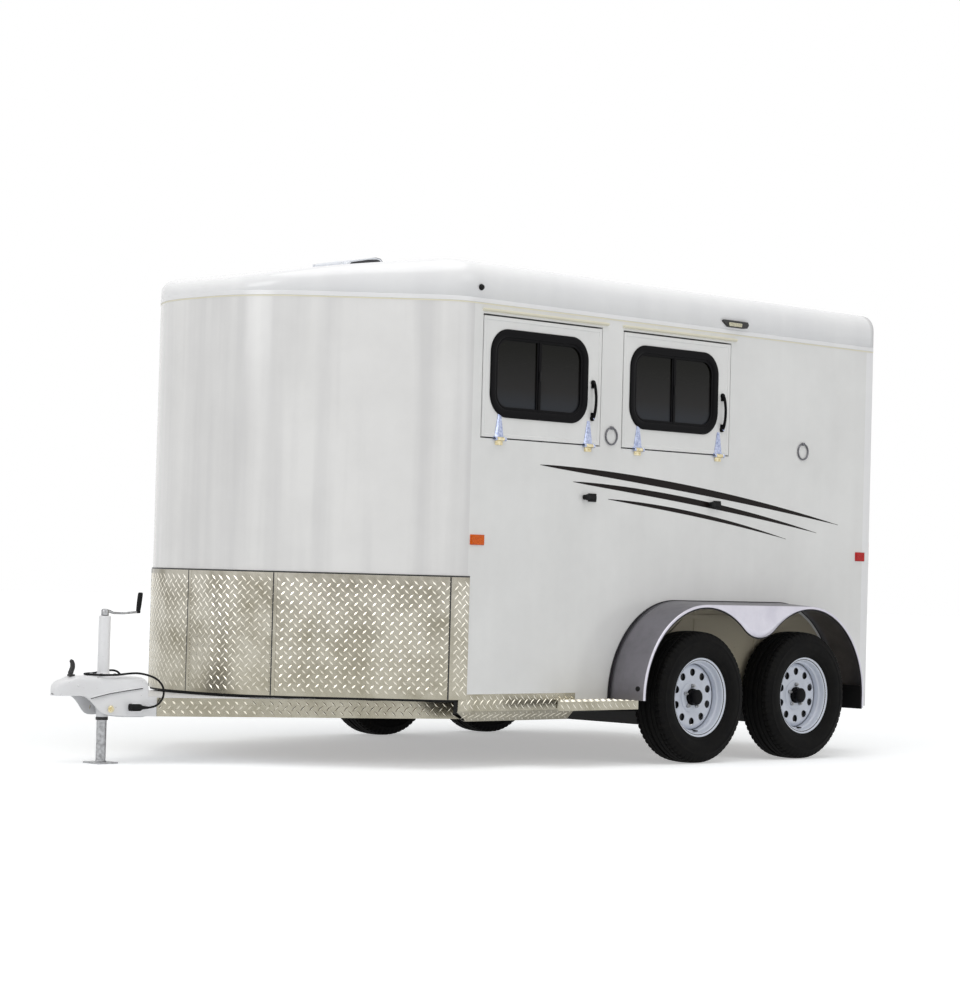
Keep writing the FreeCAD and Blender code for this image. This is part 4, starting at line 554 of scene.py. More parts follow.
def lugs(width, height, inside=None):
    """Lozenges over a width by height sheet as (u, v, out).

    Lattice points half a pitch apart are filled where their two counts have the same parity: +45 degrees on
    even counts, -45 on odd ones.
    """
    counts = [np.arange(int((side - 2 * LUG_EDGE) / LUG_PITCH * 2) + 1) for side in (width, height)]
    i, j = np.meshgrid(*counts, indexing="ij")
    used = (i + j) % 2 == 0
    i, j = i[used], j[used]
    u, v = (count * LUG_PITCH / 2 + (side - count.max() * LUG_PITCH / 2) / 2
            for count, side in ((i, width), (j, height)))
    turn = np.where(i % 2 == 0, math.pi / 4, -math.pi / 4)
    if inside is not None:
        held = inside(u, v)
        u, v, turn = u[held], v[held], turn[held]
    cos, sin = np.cos(turn)[:, None], np.sin(turn)[:, None]
    points = np.stack([u[:, None] + cos * LUG[:, 0] - sin * LUG[:, 1],
                       v[:, None] + sin * LUG[:, 0] + cos * LUG[:, 1],
                       np.broadcast_to(LUG[:, 2], (len(u), 6))], axis=-1)
    faces = (LUG_FACES[None] + 6 * np.arange(len(u))[:, None, None]).reshape(-1, 4)
    return points.reshape(-1, 3), [face[:3] if face[2] == face[3] else face for face in faces.tolist()]


# Gravel guard: a sheet wrapped round the nose
guard_spots, guard_heads = nose_plan(-GUARD_OUT, GUARD_X, 8.0)
guard_run = np.concatenate([[0], np.cumsum(np.linalg.norm(np.diff(guard_spots, axis=0), axis=1))])


def on_guard(length):
    """Place and outward direction in plan at a length along the guard from its left end."""
    return [np.stack([np.interp(length, guard_run, column) for column in line.T], axis=-1)
            for line in (guard_spots, guard_heads)]


def wrapped_lugs():
    """The lozenges bent round the nose: u is the length along the guard."""
    points, faces = lugs(guard_run[-1], GUARD_TOP - 14 - (NOSE_LOW + 4))
    place, head = on_guard(points[:, 0])
    return np.column_stack([place + points[:, 2:] * head, points[:, 1] + NOSE_LOW + 4]), faces


def guard_seam(length):
    """Two upright strips at a length along the guard: a bright lap and a dark joint beside it."""
    spot, head = on_guard(length)
    path = [(*spot, NOSE_LOW + 1), (*spot, GUARD_TOP - 8)]
    sections = [(-9, 0), (-8, 2.2), (8, 2.2), (9, 0)], [(9.2, 0), (9.2, 2.4), (14, 2.4), (14, 0)]
    return [sweep(section, path, (head[1], -head[0], 0), (*head, 0)) for section in sections]


build("guard_sheet", nose_band(0.3, GUARD_OUT, NOSE_LOW, GUARD_TOP, GUARD_X), TREAD_SHADED,
      node="gravel_guard")
build("guard_lugs", wrapped_lugs(), LUG_METAL_LIT, angle=20)
build("guard_top_trim", nose_band(0.1, 4.6, GUARD_TOP - 7, GUARD_TOP, GUARD_X), FRAME_BLACK, bevel=1)
seams = [guard_seam(length) for length in (100, 954, guard_run[-1] / 2)]
seams += [[mirror(shape) for shape in both] for both in seams[:2]]
build("guard_laps", join(*(lap for lap, _ in seams)), TREAD_SHADED)
build("guard_joints", join(*(joint for _, joint in seams)), FRAME_BLACK)

# Lower tread plate: skirts, running boards and the tongue's covers
tongue_way = np.array([math.cos(TONGUE_ANGLE), -math.sin(TONGUE_ANGLE), 0])
tongue_out = np.array([math.sin(TONGUE_ANGLE), math.cos(TONGUE_ANGLE), 0])
TUCK, TUCK_OUT = (np.array(way) / math.hypot(54, 53) for way in ((0, 54, 53), (0, 53, -54)))
cover_start = np.array([560, APEX_HALF + (APEX_X - 560) * math.tan(TONGUE_ANGLE), 229]) + tongue_out * SHEET
for name, node, sheets in (
    ("skirt_lugs", "side_skirts", (
        lay(lugs(820, 80), (3, HALF, 283), X, Z, Y),
        lay(lugs(820, 75, lambda u, v: u < 760 + 0.7 * v), (3, HALF - 54, 229), X, TUCK, TUCK_OUT))),
    ("board_lugs", "running_boards", (
        lay(lugs(586, 190, lambda u, v: u < 570 - (190 - v)), (-262, HALF, 331), X, Y, Z),
        lay(lugs(586, 42), (-262, HALF + 190, 288), X, Z, Y))),
    ("cover_lugs", "tongue_covers", (
        lay(lugs(1405 / math.cos(TONGUE_ANGLE), 89), cover_start, tongue_way, Z, tongue_out),)),
):
    build(name, pair(*sheets), LUG_METAL_LIT, angle=20)
    dress(TREAD_SHADED, node)


# Fenders
def arch_edge(x):
    """Lower edge of the plate over the wheels: circles round both wheels joined by a dipping round."""
    arch = FENDER_R - FENDER_LIP
    half, middle = (FRONT_AXLE - REAR_AXLE) / 2, (FRONT_AXLE + REAR_AXLE) / 2
    rise = FENDER_DIP - HUB_Z
    bump = (half ** 2 + rise ** 2 - arch ** 2) / (2 * (arch - rise))
    touch = half * arch / (arch + bump)
    away = half - abs(x - middle)
    circle = HUB_Z + np.sqrt(np.maximum(arch ** 2 - away ** 2, 0))
    dip = FENDER_DIP + bump - np.sqrt(np.maximum(bump ** 2 - (x - middle) ** 2, 0))
    return np.where(abs(away) < touch, circle, dip)


def fender_line():
    """Side line of a fender from leg to leg: centre x, centre z, outward direction's x and z."""
    def run(x, z, turn):
        x, z, turn = np.broadcast_arrays(x, z, turn)
        return np.column_stack([x, z, np.cos(turn), np.sin(turn)])

    legs, quarter = np.linspace(0, 0.75, 4), np.linspace(0, math.pi / 2, 46)
    return np.concatenate([
        run(FRONT_AXLE, FENDER_FRONT_LOW + (HUB_Z - FENDER_FRONT_LOW) * legs, 0.0),
        run(FRONT_AXLE, HUB_Z, quarter),
        run(np.linspace(FRONT_AXLE, REAR_AXLE, 60)[1:-1], HUB_Z, math.pi / 2),
        run(REAR_AXLE, HUB_Z, quarter + math.pi / 2),
        run(REAR_AXLE, HUB_Z + (FENDER_REAR_LOW - HUB_Z) * (legs + 0.25), math.pi)]).T


centre_x, centre_z, way_x, way_z = fender_line()
fender_out = np.column_stack([way_x, 0 * way_x, way_z])


def fender_path(reach, y):
    """The side line pushed out by reach, at a distance y from the middle."""
    return np.column_stack([centre_x + way_x * reach, np.full(len(way_x), y), centre_z + way_z * reach])


def fender_surface(stations):
    """Sheet through (y, grow) stations: each is the side line pushed out by FENDER_R + grow."""
    layers = [fender_path(FENDER_R + grow, y) for y, grow in stations]
    return np.stack(layers, axis=1).reshape(-1, 3), strip(len(way_x), len(layers))


# Over the top the outer plate hangs down to the arches; round the ends it is a narrow lip
edge_depth = np.where(way_z > 0.999, HUB_Z + FENDER_R - arch_edge(centre_x), FENDER_LIP)
bend_y, bend_r = FENDER_OUT - 6, 6
flat_top = [(HALF + 0.3, FLARE)]
flat_top += [(HALF + (bend_y - HALF) * s, FLARE * (1 - s)) for s in (0.2, 0.4, 0.6, 0.8, 1.0)]
shoulder = [(bend_y + bend_r * math.sin(t), bend_r * math.cos(t) - bend_r)
            for t in np.linspace(0, math.pi / 2, 6)]
lip = [(FENDER_OUT, -bend_r - (edge_depth - bend_r) * s) for s in (0.25, 0.5, 0.75, 1.0)]
# Painted shade: a dark grey bead along the lip's lower edge stands for the shaded underside of the rolled
# edge
lip_shade_bead = sweep(ellipse(3.6, 4.6, 10), fender_path(FENDER_R - edge_depth - 4, FENDER_OUT - 3.7), Y, fender_out)
gasket = sweep(ellipse(5, 4, 10), fender_path(FENDER_R + FLARE, HALF + 4.2), Y, fender_out)
liner_r, liner_low = FENDER_R - 4, 366
liner_line = [(FRONT_AXLE + liner_r, liner_low), *fender_path(liner_r, 0)[4:-4:3, ::2],
              (REAR_AXLE - liner_r + 22, liner_low)]
build("arch_liners", pair(plate(liner_line, HALF + 0.3, HALF + 1.5, "y")), LINER)
SIDES = (("left", lambda shape: shape), ("right", mirror))
for side, flip in SIDES:
    build("fender_top_" + side, flip(fender_surface(flat_top + shoulder[:2])), FENDER_SHADED,
          node="fenders", thick=2.6)
    build("fender_lip_" + side, flip(fender_surface(shoulder[1:] + lip)), LIP_HIGHLIGHT, thick=2.6)
    build("fender_edge_shade_" + side, flip(lip_shade_bead), GASKET_AND_SHADE)
    build("fender_gasket_" + side, flip(gasket), GASKET_AND_SHADE)


# Tyres and wheels, drawn about the hub
def tyre_shape():
    """Tyre: profile (radius, distance from the mid plane) turned once, with grooves and shoulder notches.

    Notches: a shoulder row's radius drops where its angle, in blocks, is far enough from the block's middle.
    """
    side = [(LIP_R - 4, 76), (LIP_R + 2, 83), (LIP_R + 9, 87.5), (LIP_R + 12, 90), (LIP_R + 15, 89.6),
            (LIP_R + 24, 95), (248, 99.4), (262, 101.3), (276, 101.0), (290, 98.8), (292, 99.9), (296, 99.5),
            (298, 97.6), (308, 94.6), (317, 91.8), (326, 87.8), (331.5, 84.2), (334.5, 80.5)]
    for low, high in ((75, 62), (54, 36), (28, 10)):
        base, top = (TYRE_R - 5.2 * (out / 80) ** 2 for out in (low, high))
        side += [(base - 8, low + 3), (base - 0.4, low + 0.6), (base, low - 1.5), (top, high + 1.5),
                 (top - 0.4, high - 0.6), (top - 8, high - 3)]
    bore = [(RIM_R + 1, -70), (RIM_R + 1, 70)]
    radius, out = np.array(side + [(reach, -away) for reach, away in side[::-1]] + bore).T
    count, blocks = 320, 64
    angle = around(count)[:, None]
    shoulder = (abs(out) > 60) & (abs(out) < 93) & (radius > 312)
    phase = np.where(out > 0, 0.0, 0.5)
    notch = (np.abs((angle * blocks / (2 * np.pi) + phase) % 1 - 0.5) > 0.36) & shoulder
    radius = radius - 5.5 * notch
    points = np.stack([radius * np.cos(angle), np.broadcast_to(out, radius.shape), radius * np.sin(angle)],
                      axis=-1).reshape(-1, 3)
    return points, strip(count, len(out), closed=True, ring=True)


def disc_height(radius):
    """Outward height of the wheel disc's face: hub flat, valley, vented ring, fall to the rim."""
    return np.interp(radius, (40, 76, 86, 98, 106, 148, 156, 172, 182, 187),
                     (15, 15, 16, 19, 20.5, 20.5, 19, 6, 3, 3))


def vented_disc():
    """Ten sectors, each a grid from a round hole's edge out to the sector's border.

    Border point for a direction: the ray from the hole's centre meets the (radius, arc) rectangle.
    """
    hole_r, circle_r = 19.0, 127.0
    low, high, wide = -51.0, 45.0, math.pi / 10 * circle_r
    corners = np.arctan2((wide, wide, -wide, -wide), (high, low, low, high))
    turns = np.unique(np.round(np.concatenate([around(40), corners % (2 * np.pi)]), 6))
    cos, sin = np.cos(turns), np.sin(turns)
    reach = np.minimum(abs(np.where(cos > 0, high, low) / np.where(abs(cos) < 1e-9, 1e-9, cos)),
                       wide / np.maximum(abs(sin), 1e-9))
    shapes = []
    for number in range(10):
        rings = []
        for share in (0.0, 0.04, 0.12, 0.3, 0.55, 0.8, 1.0):
            span = hole_r + (reach - hole_r) * share
            radius, turn = circle_r + span * cos, span * sin / circle_r + number * math.pi / 5
            # The hole's edge is rolled 1.6 mm inwards
            height = disc_height(radius) - 1.6 * (share == 0.0)
            rings.append(np.column_stack([radius * np.sin(turn), height, radius * np.cos(turn)]))
        shapes.append((np.concatenate(rings), strip(len(rings), len(turns), closed=True)))
    return join(*shapes)


rim = [(206.5, 73.5), (207.5, 76), (206.3, 77), (201.5, 76.4), (195.5, 72), (186.5, 67), (184.5, 62),
       (184, 44), (181.5, 40), (174.5, 37), (173, 32), (173, 12), (176.5, 6), (176.5, -40), (184.5, -48),
       (184.5, -66), (200.5, -77), (206.5, -77), (207.5, -74), (190.5, -67), (190.5, -48), (180.5, -40),
       (180.5, 8), (178.5, 30), (187.5, 42), (190.5, 48), (190.5, 67)]
hub_seat = [(42, 10), (42, 18), (45, 20), (70, 19.5), (79, 17), (79, 10)]
hub_cap = [(24, 20), (43, 20), (43, 30), (41, 33), (38, 35), (36.5, 38), (36.5, 53), (39, 55), (39, 59),
           (35, 63), (27, 65.5), (20, 66), (0, 66), (0, 62), (24, 62)]
brake_drum = [(58, -60), (143, -60), (145, -58), (145, 4), (141, 8), (58, 8)]
stud = [(6, 30), (6, 38), (5, 39.5)]
valve = [(5, 30), (4.2, 52), (3.4, 54), (3.4, 64)]
BOLT_CIRCLE_R = 57.15
nuts = []
for turn in 2 * math.pi * np.arange(5) / 5 + math.pi / 2:
    spot = (BOLT_CIRCLE_R * math.cos(turn), 0, BOLT_CIRCLE_R * math.sin(turn))
    nuts += [hexagon(spot, 11, 16, 32), turned(stud, 12, spot)]
WHEEL_PIECES = (
    # name, shape, finish, the node it stands for, sharp angle, thickness
    ("tyre_%s_tread", tyre_shape(), TYRE, "tyre_", 42, 0),
    ("rim_%s", turned(rim, 96, bore=True), WHEEL_SHADED, "wheel_", 30, 0),
    ("disc_%s", vented_disc(), WHEEL_SHADED, None, 30, 5),
    ("hub_seat_%s", turned(hub_seat, 64, bore=True), WHEEL_SHADED, None, 30, 0),
    ("hub_cap_%s", turned(hub_cap, 48, bore=True), FRAME_PLASTIC, None, 35, 0),
    ("brake_drum_%s", turned(brake_drum, 64, bore=True), FRAME_BLACK, None, 35, 0),
    ("lug_nuts_%s", join(*nuts), ZINC, None, 30, 0),
    ("valve_%s", turned(valve, 12, (0, 0, 16 - RIM_R)), RUBBER, None, 35, 0),
)
for axle, axle_x in (("front", FRONT_AXLE), ("rear", REAR_AXLE)):
    for side, flip in SIDES:
        tag = axle + "_" + side
        for name, shape, finish, node, angle, thick in WHEEL_PIECES:
            build(name % tag, flip(shifted(shape, (axle_x, WHEEL_Y, HUB_Z))), finish, "wheelset_" + tag,
                  node=node and node + tag, angle=angle, thick=thick)


# Windows, hinges and handles: drawn as (u, v, out) and laid on a panel
LEFT_WALL, RIGHT_WALL = ((0, HALF, 0), X, Z, Y), ((0, -HALF, 0), X, Z, (0, -1, 0))
REAR_WALL = ((REAR_X, 0, 0), Y, Z, (-1, 0, 0))
# Sections as (inward, out); the glass starts a band's width inside the bezel's edge
BAND = 42
BEZEL = [(0, 0.2), (0.4, 3.5), (2, 6.2), (5, 7.6), (9, 8), (26, 7.6), (33, 6.4), (38, 4.2), (41, 1),
         (BAND, -4), (BAND, -20), (24, -20), (22, 0.2)]
SASH = [(40, -6.5), (40, 0.6), (43, 1.4), (50, 1.4), (53, 0.4), (53, -6.5)]
BORDER = [(0.5, 0.2), (1.5, 2.6), (17, 2.6), (20, 0.2)]


def window_ring(along, up, radius, section):
    """Section carried round a rounded rectangle: four arcs of a radius, joined by straight runs."""
    corners = np.array([(along[1] - radius, up[1] - radius, 0), (along[0] + radius, up[1] - radius, 0),
                        (along[0] + radius, up[0] + radius, 0), (along[1] - radius, up[0] + radius, 0)])
    turn = np.radians(np.linspace(0, 90, 14) + 90 * np.arange(4)[:, None])
    heading = np.stack([np.cos(turn), np.sin(turn), 0 * turn], axis=-1)
    path = (corners[:, None] + radius * heading).reshape(-1, 3)
    return sweep(section, path, -heading.reshape(-1, 3), Z, ring=True)


def mitred_ring(along, up, section):
    """The same round a rectangle with square corners: each corner's section runs down the mitre."""
    inward = [(-1, -1, 0), (1, -1, 0), (1, 1, 0), (-1, 1, 0)]
    corners = [(along[way < 0], up[rise < 0], 0) for way, rise, _ in inward]
    return sweep(section, corners, inward, Z, ring=True)


def window_set(name, body, frame_node, glass_node, panel, along, up, radius=WINDOW_R):
    """Black framed slider: bezel, inner sash with its mullion, and latch."""
    middle, low, high = sum(along) / 2, up[0] + BAND, up[1] - BAND
    sash = join(window_ring(along, up, radius, SASH), slab((middle - 9, low, -7), (middle + 9, high, 2.5)),
                slab((middle + 9, low, -7), (middle + 20, high, -1)))
    catch = slab((middle - 6, sum(up) / 2 - 24, 2), (middle + 5, sum(up) / 2 + 24, 7))
    build(name + "_bezel", lay(window_ring(along, up, radius, BEZEL), *panel), FRAME_PLASTIC, body,
          frame_node, angle=40)
    build(name + "_sash", lay(sash, *panel), FRAME_PLASTIC, body, bevel=1, angle=40)
    build(name + "_catch", lay(catch, *panel), RUBBER, body, bevel=2)
    dress(GLASS, glass_node)


def strap(width, tip):
    """Tapering ridged strap drawn as (along the pin, away from the pin, out), with three bolts."""
    rows, bolts = [], []
    for share in np.linspace(0, 1, 9):
        half, away, ridge = (width + (tip - width) * share) / 2, 8 + STRAP_RUN * share, 6.5 - 2.5 * share
        rows += [(-half, away, 0.3), (-half, away, 3.2), (-half * 0.35, away, ridge),
                 (half * 0.35, away, ridge), (half, away, 3.2), (half, away, 0.3)]
    for share in (0.2, 0.55, 0.85):
        spot = (0, 8 + STRAP_RUN * share, 6.0 - 2.4 * share)
        bolts.append(turned([(3.6, -2), (3.6, 0.6), (2.4, 1.5), (0, 1.8)], 12, spot, "z"))
    return join(capped(np.array(rows), 9, 6), *bolts)


def barrel(low, high):
    """Hinge barrel along u with rolled ends."""
    return turned([(8, low), (10, low + 2), (10, high - 2), (8, high)], 20,
                  (0, 0, HINGE_OUT), "x")


def hinge(name, body, widths, origin, u, v, w):
    """Builds the strap and end barrels on the moving body; gives the fixed leaf with the middle barrel.

    v points to the strap.
    """
    moving = join(strap(*widths), barrel(-38, -25.5), barrel(25.5, 38),
                  slab((-38, -2, 0.4), (-25.5, 12, 4.5)), slab((25.5, -2, 0.4), (38, 12, 4.5)))
    screws = [turned([(4.5, 3), (4, 6), (0, 6.6)], 14, (place, -21, 0), "z") for place in (-15, 15)]
    build(name + "_strap", lay(moving, origin, u, v, w), CHROME_SKY_REFLECTION, body)
    return lay(join(barrel(-25, 25), slab((-25, -30, 0.2), (25, 0, 4)), *screws), origin, u, v, w)


def grab_handle(low, high):
    """Bowed handle: a round bar whose stand-off is a half sine, with a boss and a neck at each end."""
    share = np.linspace(0, 1, 33)
    bow = np.sin(np.pi * share)
    line = np.column_stack([0 * share, low + 14 + (high - low - 28) * share, 9 + 19.5 * abs(bow) ** 0.6])
    bosses = [turned([(13, 0.2), (14, 3), (13, 10), (9, 14.5), (0, 15.5)], 20, (0, spot, 0), "z")
              for spot in (low + 14, high - 14)]
    necks = [slab((-9, spot, 0.3), (9, spot + 38, 9)) for spot in (low + 4, high - 42)]
    return join(tube(line, 8.4 - 1.2 * bow, 12), *bosses, *necks)


leaves = []
for side, front in zip(("front", "rear"), HATCH_FRONTS):
    tag = "hatch_" + side
    window_front, handle_x = front - 49, front - HATCH_WIDTH + 61
    window_set(tag + "_window", tag, tag + "_fittings", tag + "_glass", LEFT_WALL,
               (window_front - WINDOW_WIDTH, window_front), (WINDOW_LOW, WINDOW_HIGH))
    for number, place in enumerate((front - 120, front - 757)):
        leaves.append(hinge("%s_hinge_%d" % (tag, number), tag, HATCH_STRAP, (place, HALF, HINGE_Z), X, Z, Y))
    handle = lay(grab_handle(WINDOW_LOW + 20, WINDOW_LOW + 228), (handle_x, HALF, 0), X, Z, Y)
    build(tag + "_handle", handle, FRAME_PLASTIC, tag, angle=40)
    key = turned([(6.5, 15), (6.5, 17.5), (5, 18)], 18, (handle_x, HALF, WINDOW_LOW + 34))
    build(tag + "_key_lock", key, CHROME_SKY_REFLECTION, tag)
    border = mitred_ring((front - HATCH_WIDTH, front), (HATCH_LOW, HATCH_HIGH), BORDER)
    build(tag + "_border", lay(border, *LEFT_WALL), WALL_WHITE, tag, angle=30)

for side, sign in (("left", 1), ("right", -1)):
    tag, body = "rear_" + side, "rear_door_" + side
    rod_y, hinge_y = sign * 90, sign * (DOOR_EDGE + HINGE_OUT / 2)
    window_set(tag + "_window", body, body + "_fittings", body + "_glass", REAR_WALL,
               sorted((sign * 155, sign * (DOOR_EDGE - 156))), (WINDOW_LOW - 20, WINDOW_LOW + 420))
    for number, height in enumerate((568, 1308, 2058)):
        leaves.append(hinge("%s_hinge_%d" % (tag, number), body, DOOR_STRAP, (REAR_X, hinge_y, height), Z,
                            (0, -sign, 0), (-1, 0, 0)))
    rod = turned([(9, 428), (9, 2198)], 16, (REAR_X - 16, rod_y, 0), "z")
    guides = [slab((REAR_X - 26, rod_y - 16, z), (REAR_X, rod_y + 16, z + 40)) for z in (608, 1978)]
    lever = [(REAR_X - out, rod_y, z) for out, z in ((17, 1190), (28, 1200), (29, 1300), (29, 1430))]
    build(tag + "_lock", join(rod, *guides, tube(lever, 7, 10)), ZINC, body, bevel=1)

window_set("tack_window", "tack_door", "tack_door_fittings", "tack_door_glass", RIGHT_WALL, (110, 530),
           (WINDOW_LOW, WINDOW_LOW + 380), WINDOW_R * 0.75)
for number, height in enumerate((580, 1305, 2030)):
    leaves.append(hinge("tack_hinge_%d" % number, "tack_door", DOOR_STRAP, (652, -HALF, height), Z,
                        (-1, 0, 0), (0, -1, 0)))
lock = join(wall_block((40, 1180), (95, 1330), 0, 8), wall_block((52, 1230), (84, 1300), 8, 22))
build("tack_lock", mirror(lock), FRAME_PLASTIC, "tack_door", bevel=4)
for number, rear in enumerate((-1950, -1050)):
    window_set("rump_window_%d" % number, ROOT, "rump_window_frames", "rump_window_glass", RIGHT_WALL,
               (rear, rear + WINDOW_WIDTH), (WINDOW_LOW, WINDOW_HIGH))
build("fixed_hinge_leaves", join(*leaves), BRASS, node="hinge_leaves", bevel=0.8)

# Drip rails, lamps, tie rings and catches
drip = [(0, -5), (8, -4), (14, 1.5), (14, 9), (11, 10), (9, 5), (0, 9)]
rails = [sweep(drip, [(front - HATCH_WIDTH - 41, HALF, 2232), (front + 12, HALF, 2232)], Y, Z)
         for front in HATCH_FRONTS]
build("drip_rail_pair", join(*rails), CREAM, node="drip_rails")
load_bezel = [(-1058, 2330), (-1066, 2338), (-1262, 2338), (-1272, 2322), (-1258, 2304), (-1230, 2301),
              (-1100, 2301)]
load_lens = [(-1100, 2322), (-1106, 2326), (-1204, 2326), (-1210, 2322), (-1204, 2306), (-1106, 2306)]
roof_marker = turned([(16, 0), (16, 4), (12, 12), (6, 15.5), (0, 16)], 24, (745, HALF, 2340))
tails = [slab((REAR_X - 10, y, 1040), (REAR_X, y + 36, 1190)) for y in (1022, -1058)]
for name, shape, finish in (
    ("load_lamp_bezels", pair(plate(load_bezel, HALF, HALF + 14, "y")), FRAME_BLACK),
    ("load_lamp_lenses", pair(plate(load_lens, HALF + 14, HALF + 20, "y")), CLEAR),
    ("roof_markers", pair(roof_marker), RUBBER),
    ("amber_rims", pair(wall_block((680, 1088), (775, 1138), 0, 5)), AMBER),
    ("amber_faces", pair(wall_block((686, 1093), (769, 1133), 5, 7)), AMBER),
    ("red_rims", pair(wall_block((-2345, 1078), (-2262, 1128), 0, 5)), RED),
    ("red_faces", pair(wall_block((-2341, 1082), (-2266, 1124), 5, 7)), RED),
    ("tail_lamp_bodies", join(*tails), RED),
):
    build(name, shape, finish, node="lamps", bevel=2)
fender_marker = turned([(13.5, 0), (13.5, 4), (11, 8), (5, 10)], 24,
                       (FRONT_AXLE + FENDER_R - 3, 1256, 390), "x")
build("fender_markers", pair(fender_marker), RUBBER)
rings = []
for place in (-212, -1770):
    turn = np.linspace(0, 2 * np.pi, 49)
    hoop = np.column_stack([place + 42.5 * np.cos(turn), np.full(49, HALF + 5.2), 1668 + 42.5 * np.sin(turn)])
    rings += [tube(hoop, 4.3, 10), wall_block((place - 9, 1702), (place + 9, 1718), 0, 11)]
build("tie_rings", join(*rings), DARK_STEEL, node="wall_fittings", bevel=2)
catches = []
for place in (-59, -1032):
    knob = turned([(13, 0), (13, 18), (16, 20), (16, 28), (12, 30)], 20, (place + 34, HALF, 1349))
    catches += [wall_block((place - 50, 1328), (place + 6, 1370), 0, 8), knob,
                wall_block((place - 44, 1340), (place + 30, 1358), 8, 15)]
build("hatch_catches", join(*catches), RUBBER, bevel=3)

# CAD nodes that stay, and what is added to the body's underside
dress(ROOF_WHITE, "rear_frame")
dress(WALL_WHITE, "side_wall_left", "side_wall_right", "hatch_front_panel", "hatch_rear_panel",
      "rear_door_left_panel", "rear_door_right_panel", "tack_door_panel", "bulkhead")
dress(FRAME_BLACK, "axles", "main_rails", "cross_members")
dress(RUBBER, "mud_flaps")
dress(PLANKS, "floor")
dress(FRAME_WHITE, "tongue_frame", "lead_fittings")
dress(VENT_WHITE, "vent_base")
bumper = slab((REAR_X - 60, -1000, 290), (REAR_X, 1000, 350))
build("bumper_block", bumper, RUBBER, node="rear_bumper", bevel=8)
braces = [wall_block((x - 14, 365), (x + 14, 800), -1, 5) for x in (-905, -1400)]
build("arch_braces", pair(*braces, wall_block((-1800, 742), (-520, 766), -1, 7)), LINER, bevel=1)
build("sill_strips", pair(wall_block((-262, 331), (3, 364), -5, -0.5)), WALL_WHITE)
# Painted shadow: a black band under the nose's lower edge stands for the shaded gap over the tongue
build("nose_shadow_band", nose_band(-26, -3, NOSE_LOW - 11, NOSE_LOW, CORNER_X), RUBBER)

# Roof vent: side lines as (x, height over the lid's floor)
LID_LOW = ROOF_TOP + 26.3
LID_SIDE = [(790, 0), (790, 7.2), (768, 24), (640, 50), (585, 56), (560, 53), (535, 32), (535, 0)]
CHEEK_SIDE = [(772, 3), (760, 18), (640, 43), (585, 49), (566, 46), (545, 28), (545, 3)]
BAR_SIDE = [(590, 56), (560, 53), (535, 32), (535, 4), (532, 4), (532, 33.5), (559, 55.5), (590, 58.5)]
PIN = [(3.4, -115), (3.4, -100), (8.4, -100), (8.4, 100), (3.4, 100), (3.4, 115)]


def lid_plate(line, low, high):
    return shifted(plate(line, low, high, "y"), (0, 0, LID_LOW))


points, faces = lid_plate(LID_SIDE, -130, 130)
# The lid's floor is open
faces = [face for face in faces if any(points[corner][2] > LID_LOW + 0.1 for corner in face)]
build("vent_lid_top", (points, faces), VENT_WHITE, "vent", node="vent_lid", thick=4)
# Painted shade: dark cheek plates stand for the shaded opening under the lid
build("vent_lid_sides", pair(lid_plate(CHEEK_SIDE, 130, 131.2)), VENT_SIDE_SHADE, "vent")
build("vent_lid_bar", lid_plate(BAR_SIDE, -131, 131), VENT_BAR, "vent")
build("vent_lid_roll", turned(PIN, 20, (797, 0, ROOF_TOP + 34.5)), VENT_WHITE, "vent")

# Coupler: pressed nose over the ball as stations of (x, half width, low, high)
STATIONS = ((2441.5, 1, 338, 342), (2440.5, 9, 332, 351), (2437, 19, 328, 362), (2428, 30, 325, 376),
            (2413, 39, 324, 387), (2394, 46, 324, 396), (2370, 51, 324, 401), (2340, 54, 324, 413),
            (2325, 55, 324, 416.5), (2300, 58, 322, 417), (2262, 62, 300, 417), (2232, 66, 262, 417),
            (2205, 73, 232, 417), (2150, 98, 222, 417), (2080, 131, 222, 417), (2031, 153.5, 222, 417),
            (2012, 162, 224, 416), (2001, 167, 240, 405))
LIP_SIDE = [(2262, 61), (2300, 59), (2340, 55.5), (2372, 52), (2396, 46.5), (2415, 39), (2430, 29.5),
            (2438, 18), (2441.5, 0)]
SOCKET = [(29.8, 325), (29.8, 364), (24, 375), (12, 380), (0, 380.5), (0, 384), (14, 383), (27, 378),
          (33, 366), (33, 325)]


def coupler_shape():
    """Stations lofted as sections open below: share of the half width across, share of the height up."""
    across = np.array([-1, -1, -1, -0.97, -0.88, -0.7, -0.4, 0])
    upward = np.array([0, 0.35, 0.7, 0.88, 0.965, 0.995, 1, 1])
    across = np.concatenate([across, -across[-2::-1]])
    upward = np.concatenate([upward, upward[-2::-1]])
    x, half, low, high = (column[:, None] for column in np.array(STATIONS).T)
    points = np.stack(np.broadcast_arrays(x, half * across, low + (high - low) * upward), axis=-1)
    return points.reshape(-1, 3), strip(len(STATIONS), 15) + [list(range(15))]


def coupler_lip():
    """Rolled edge: a round section just inside the outline, outwards found from the line's own direction."""
    path = np.array([(x, y, 324.0) for x, y in LIP_SIDE + [(x, -y) for x, y in LIP_SIDE[-2::-1]]])
    out = np.cross(np.gradient(path, axis=0), [0, 0, 1.0])
    out /= np.linalg.norm(out, axis=1)[:, None]
    out *= np.sign((out * (path - [2300, 0, 324])).sum(axis=1))[:, None]
    return sweep(np.array(ellipse(3.2, 3.2, 8)) + (0, 3.2), path - out * 3.2, out, Z)


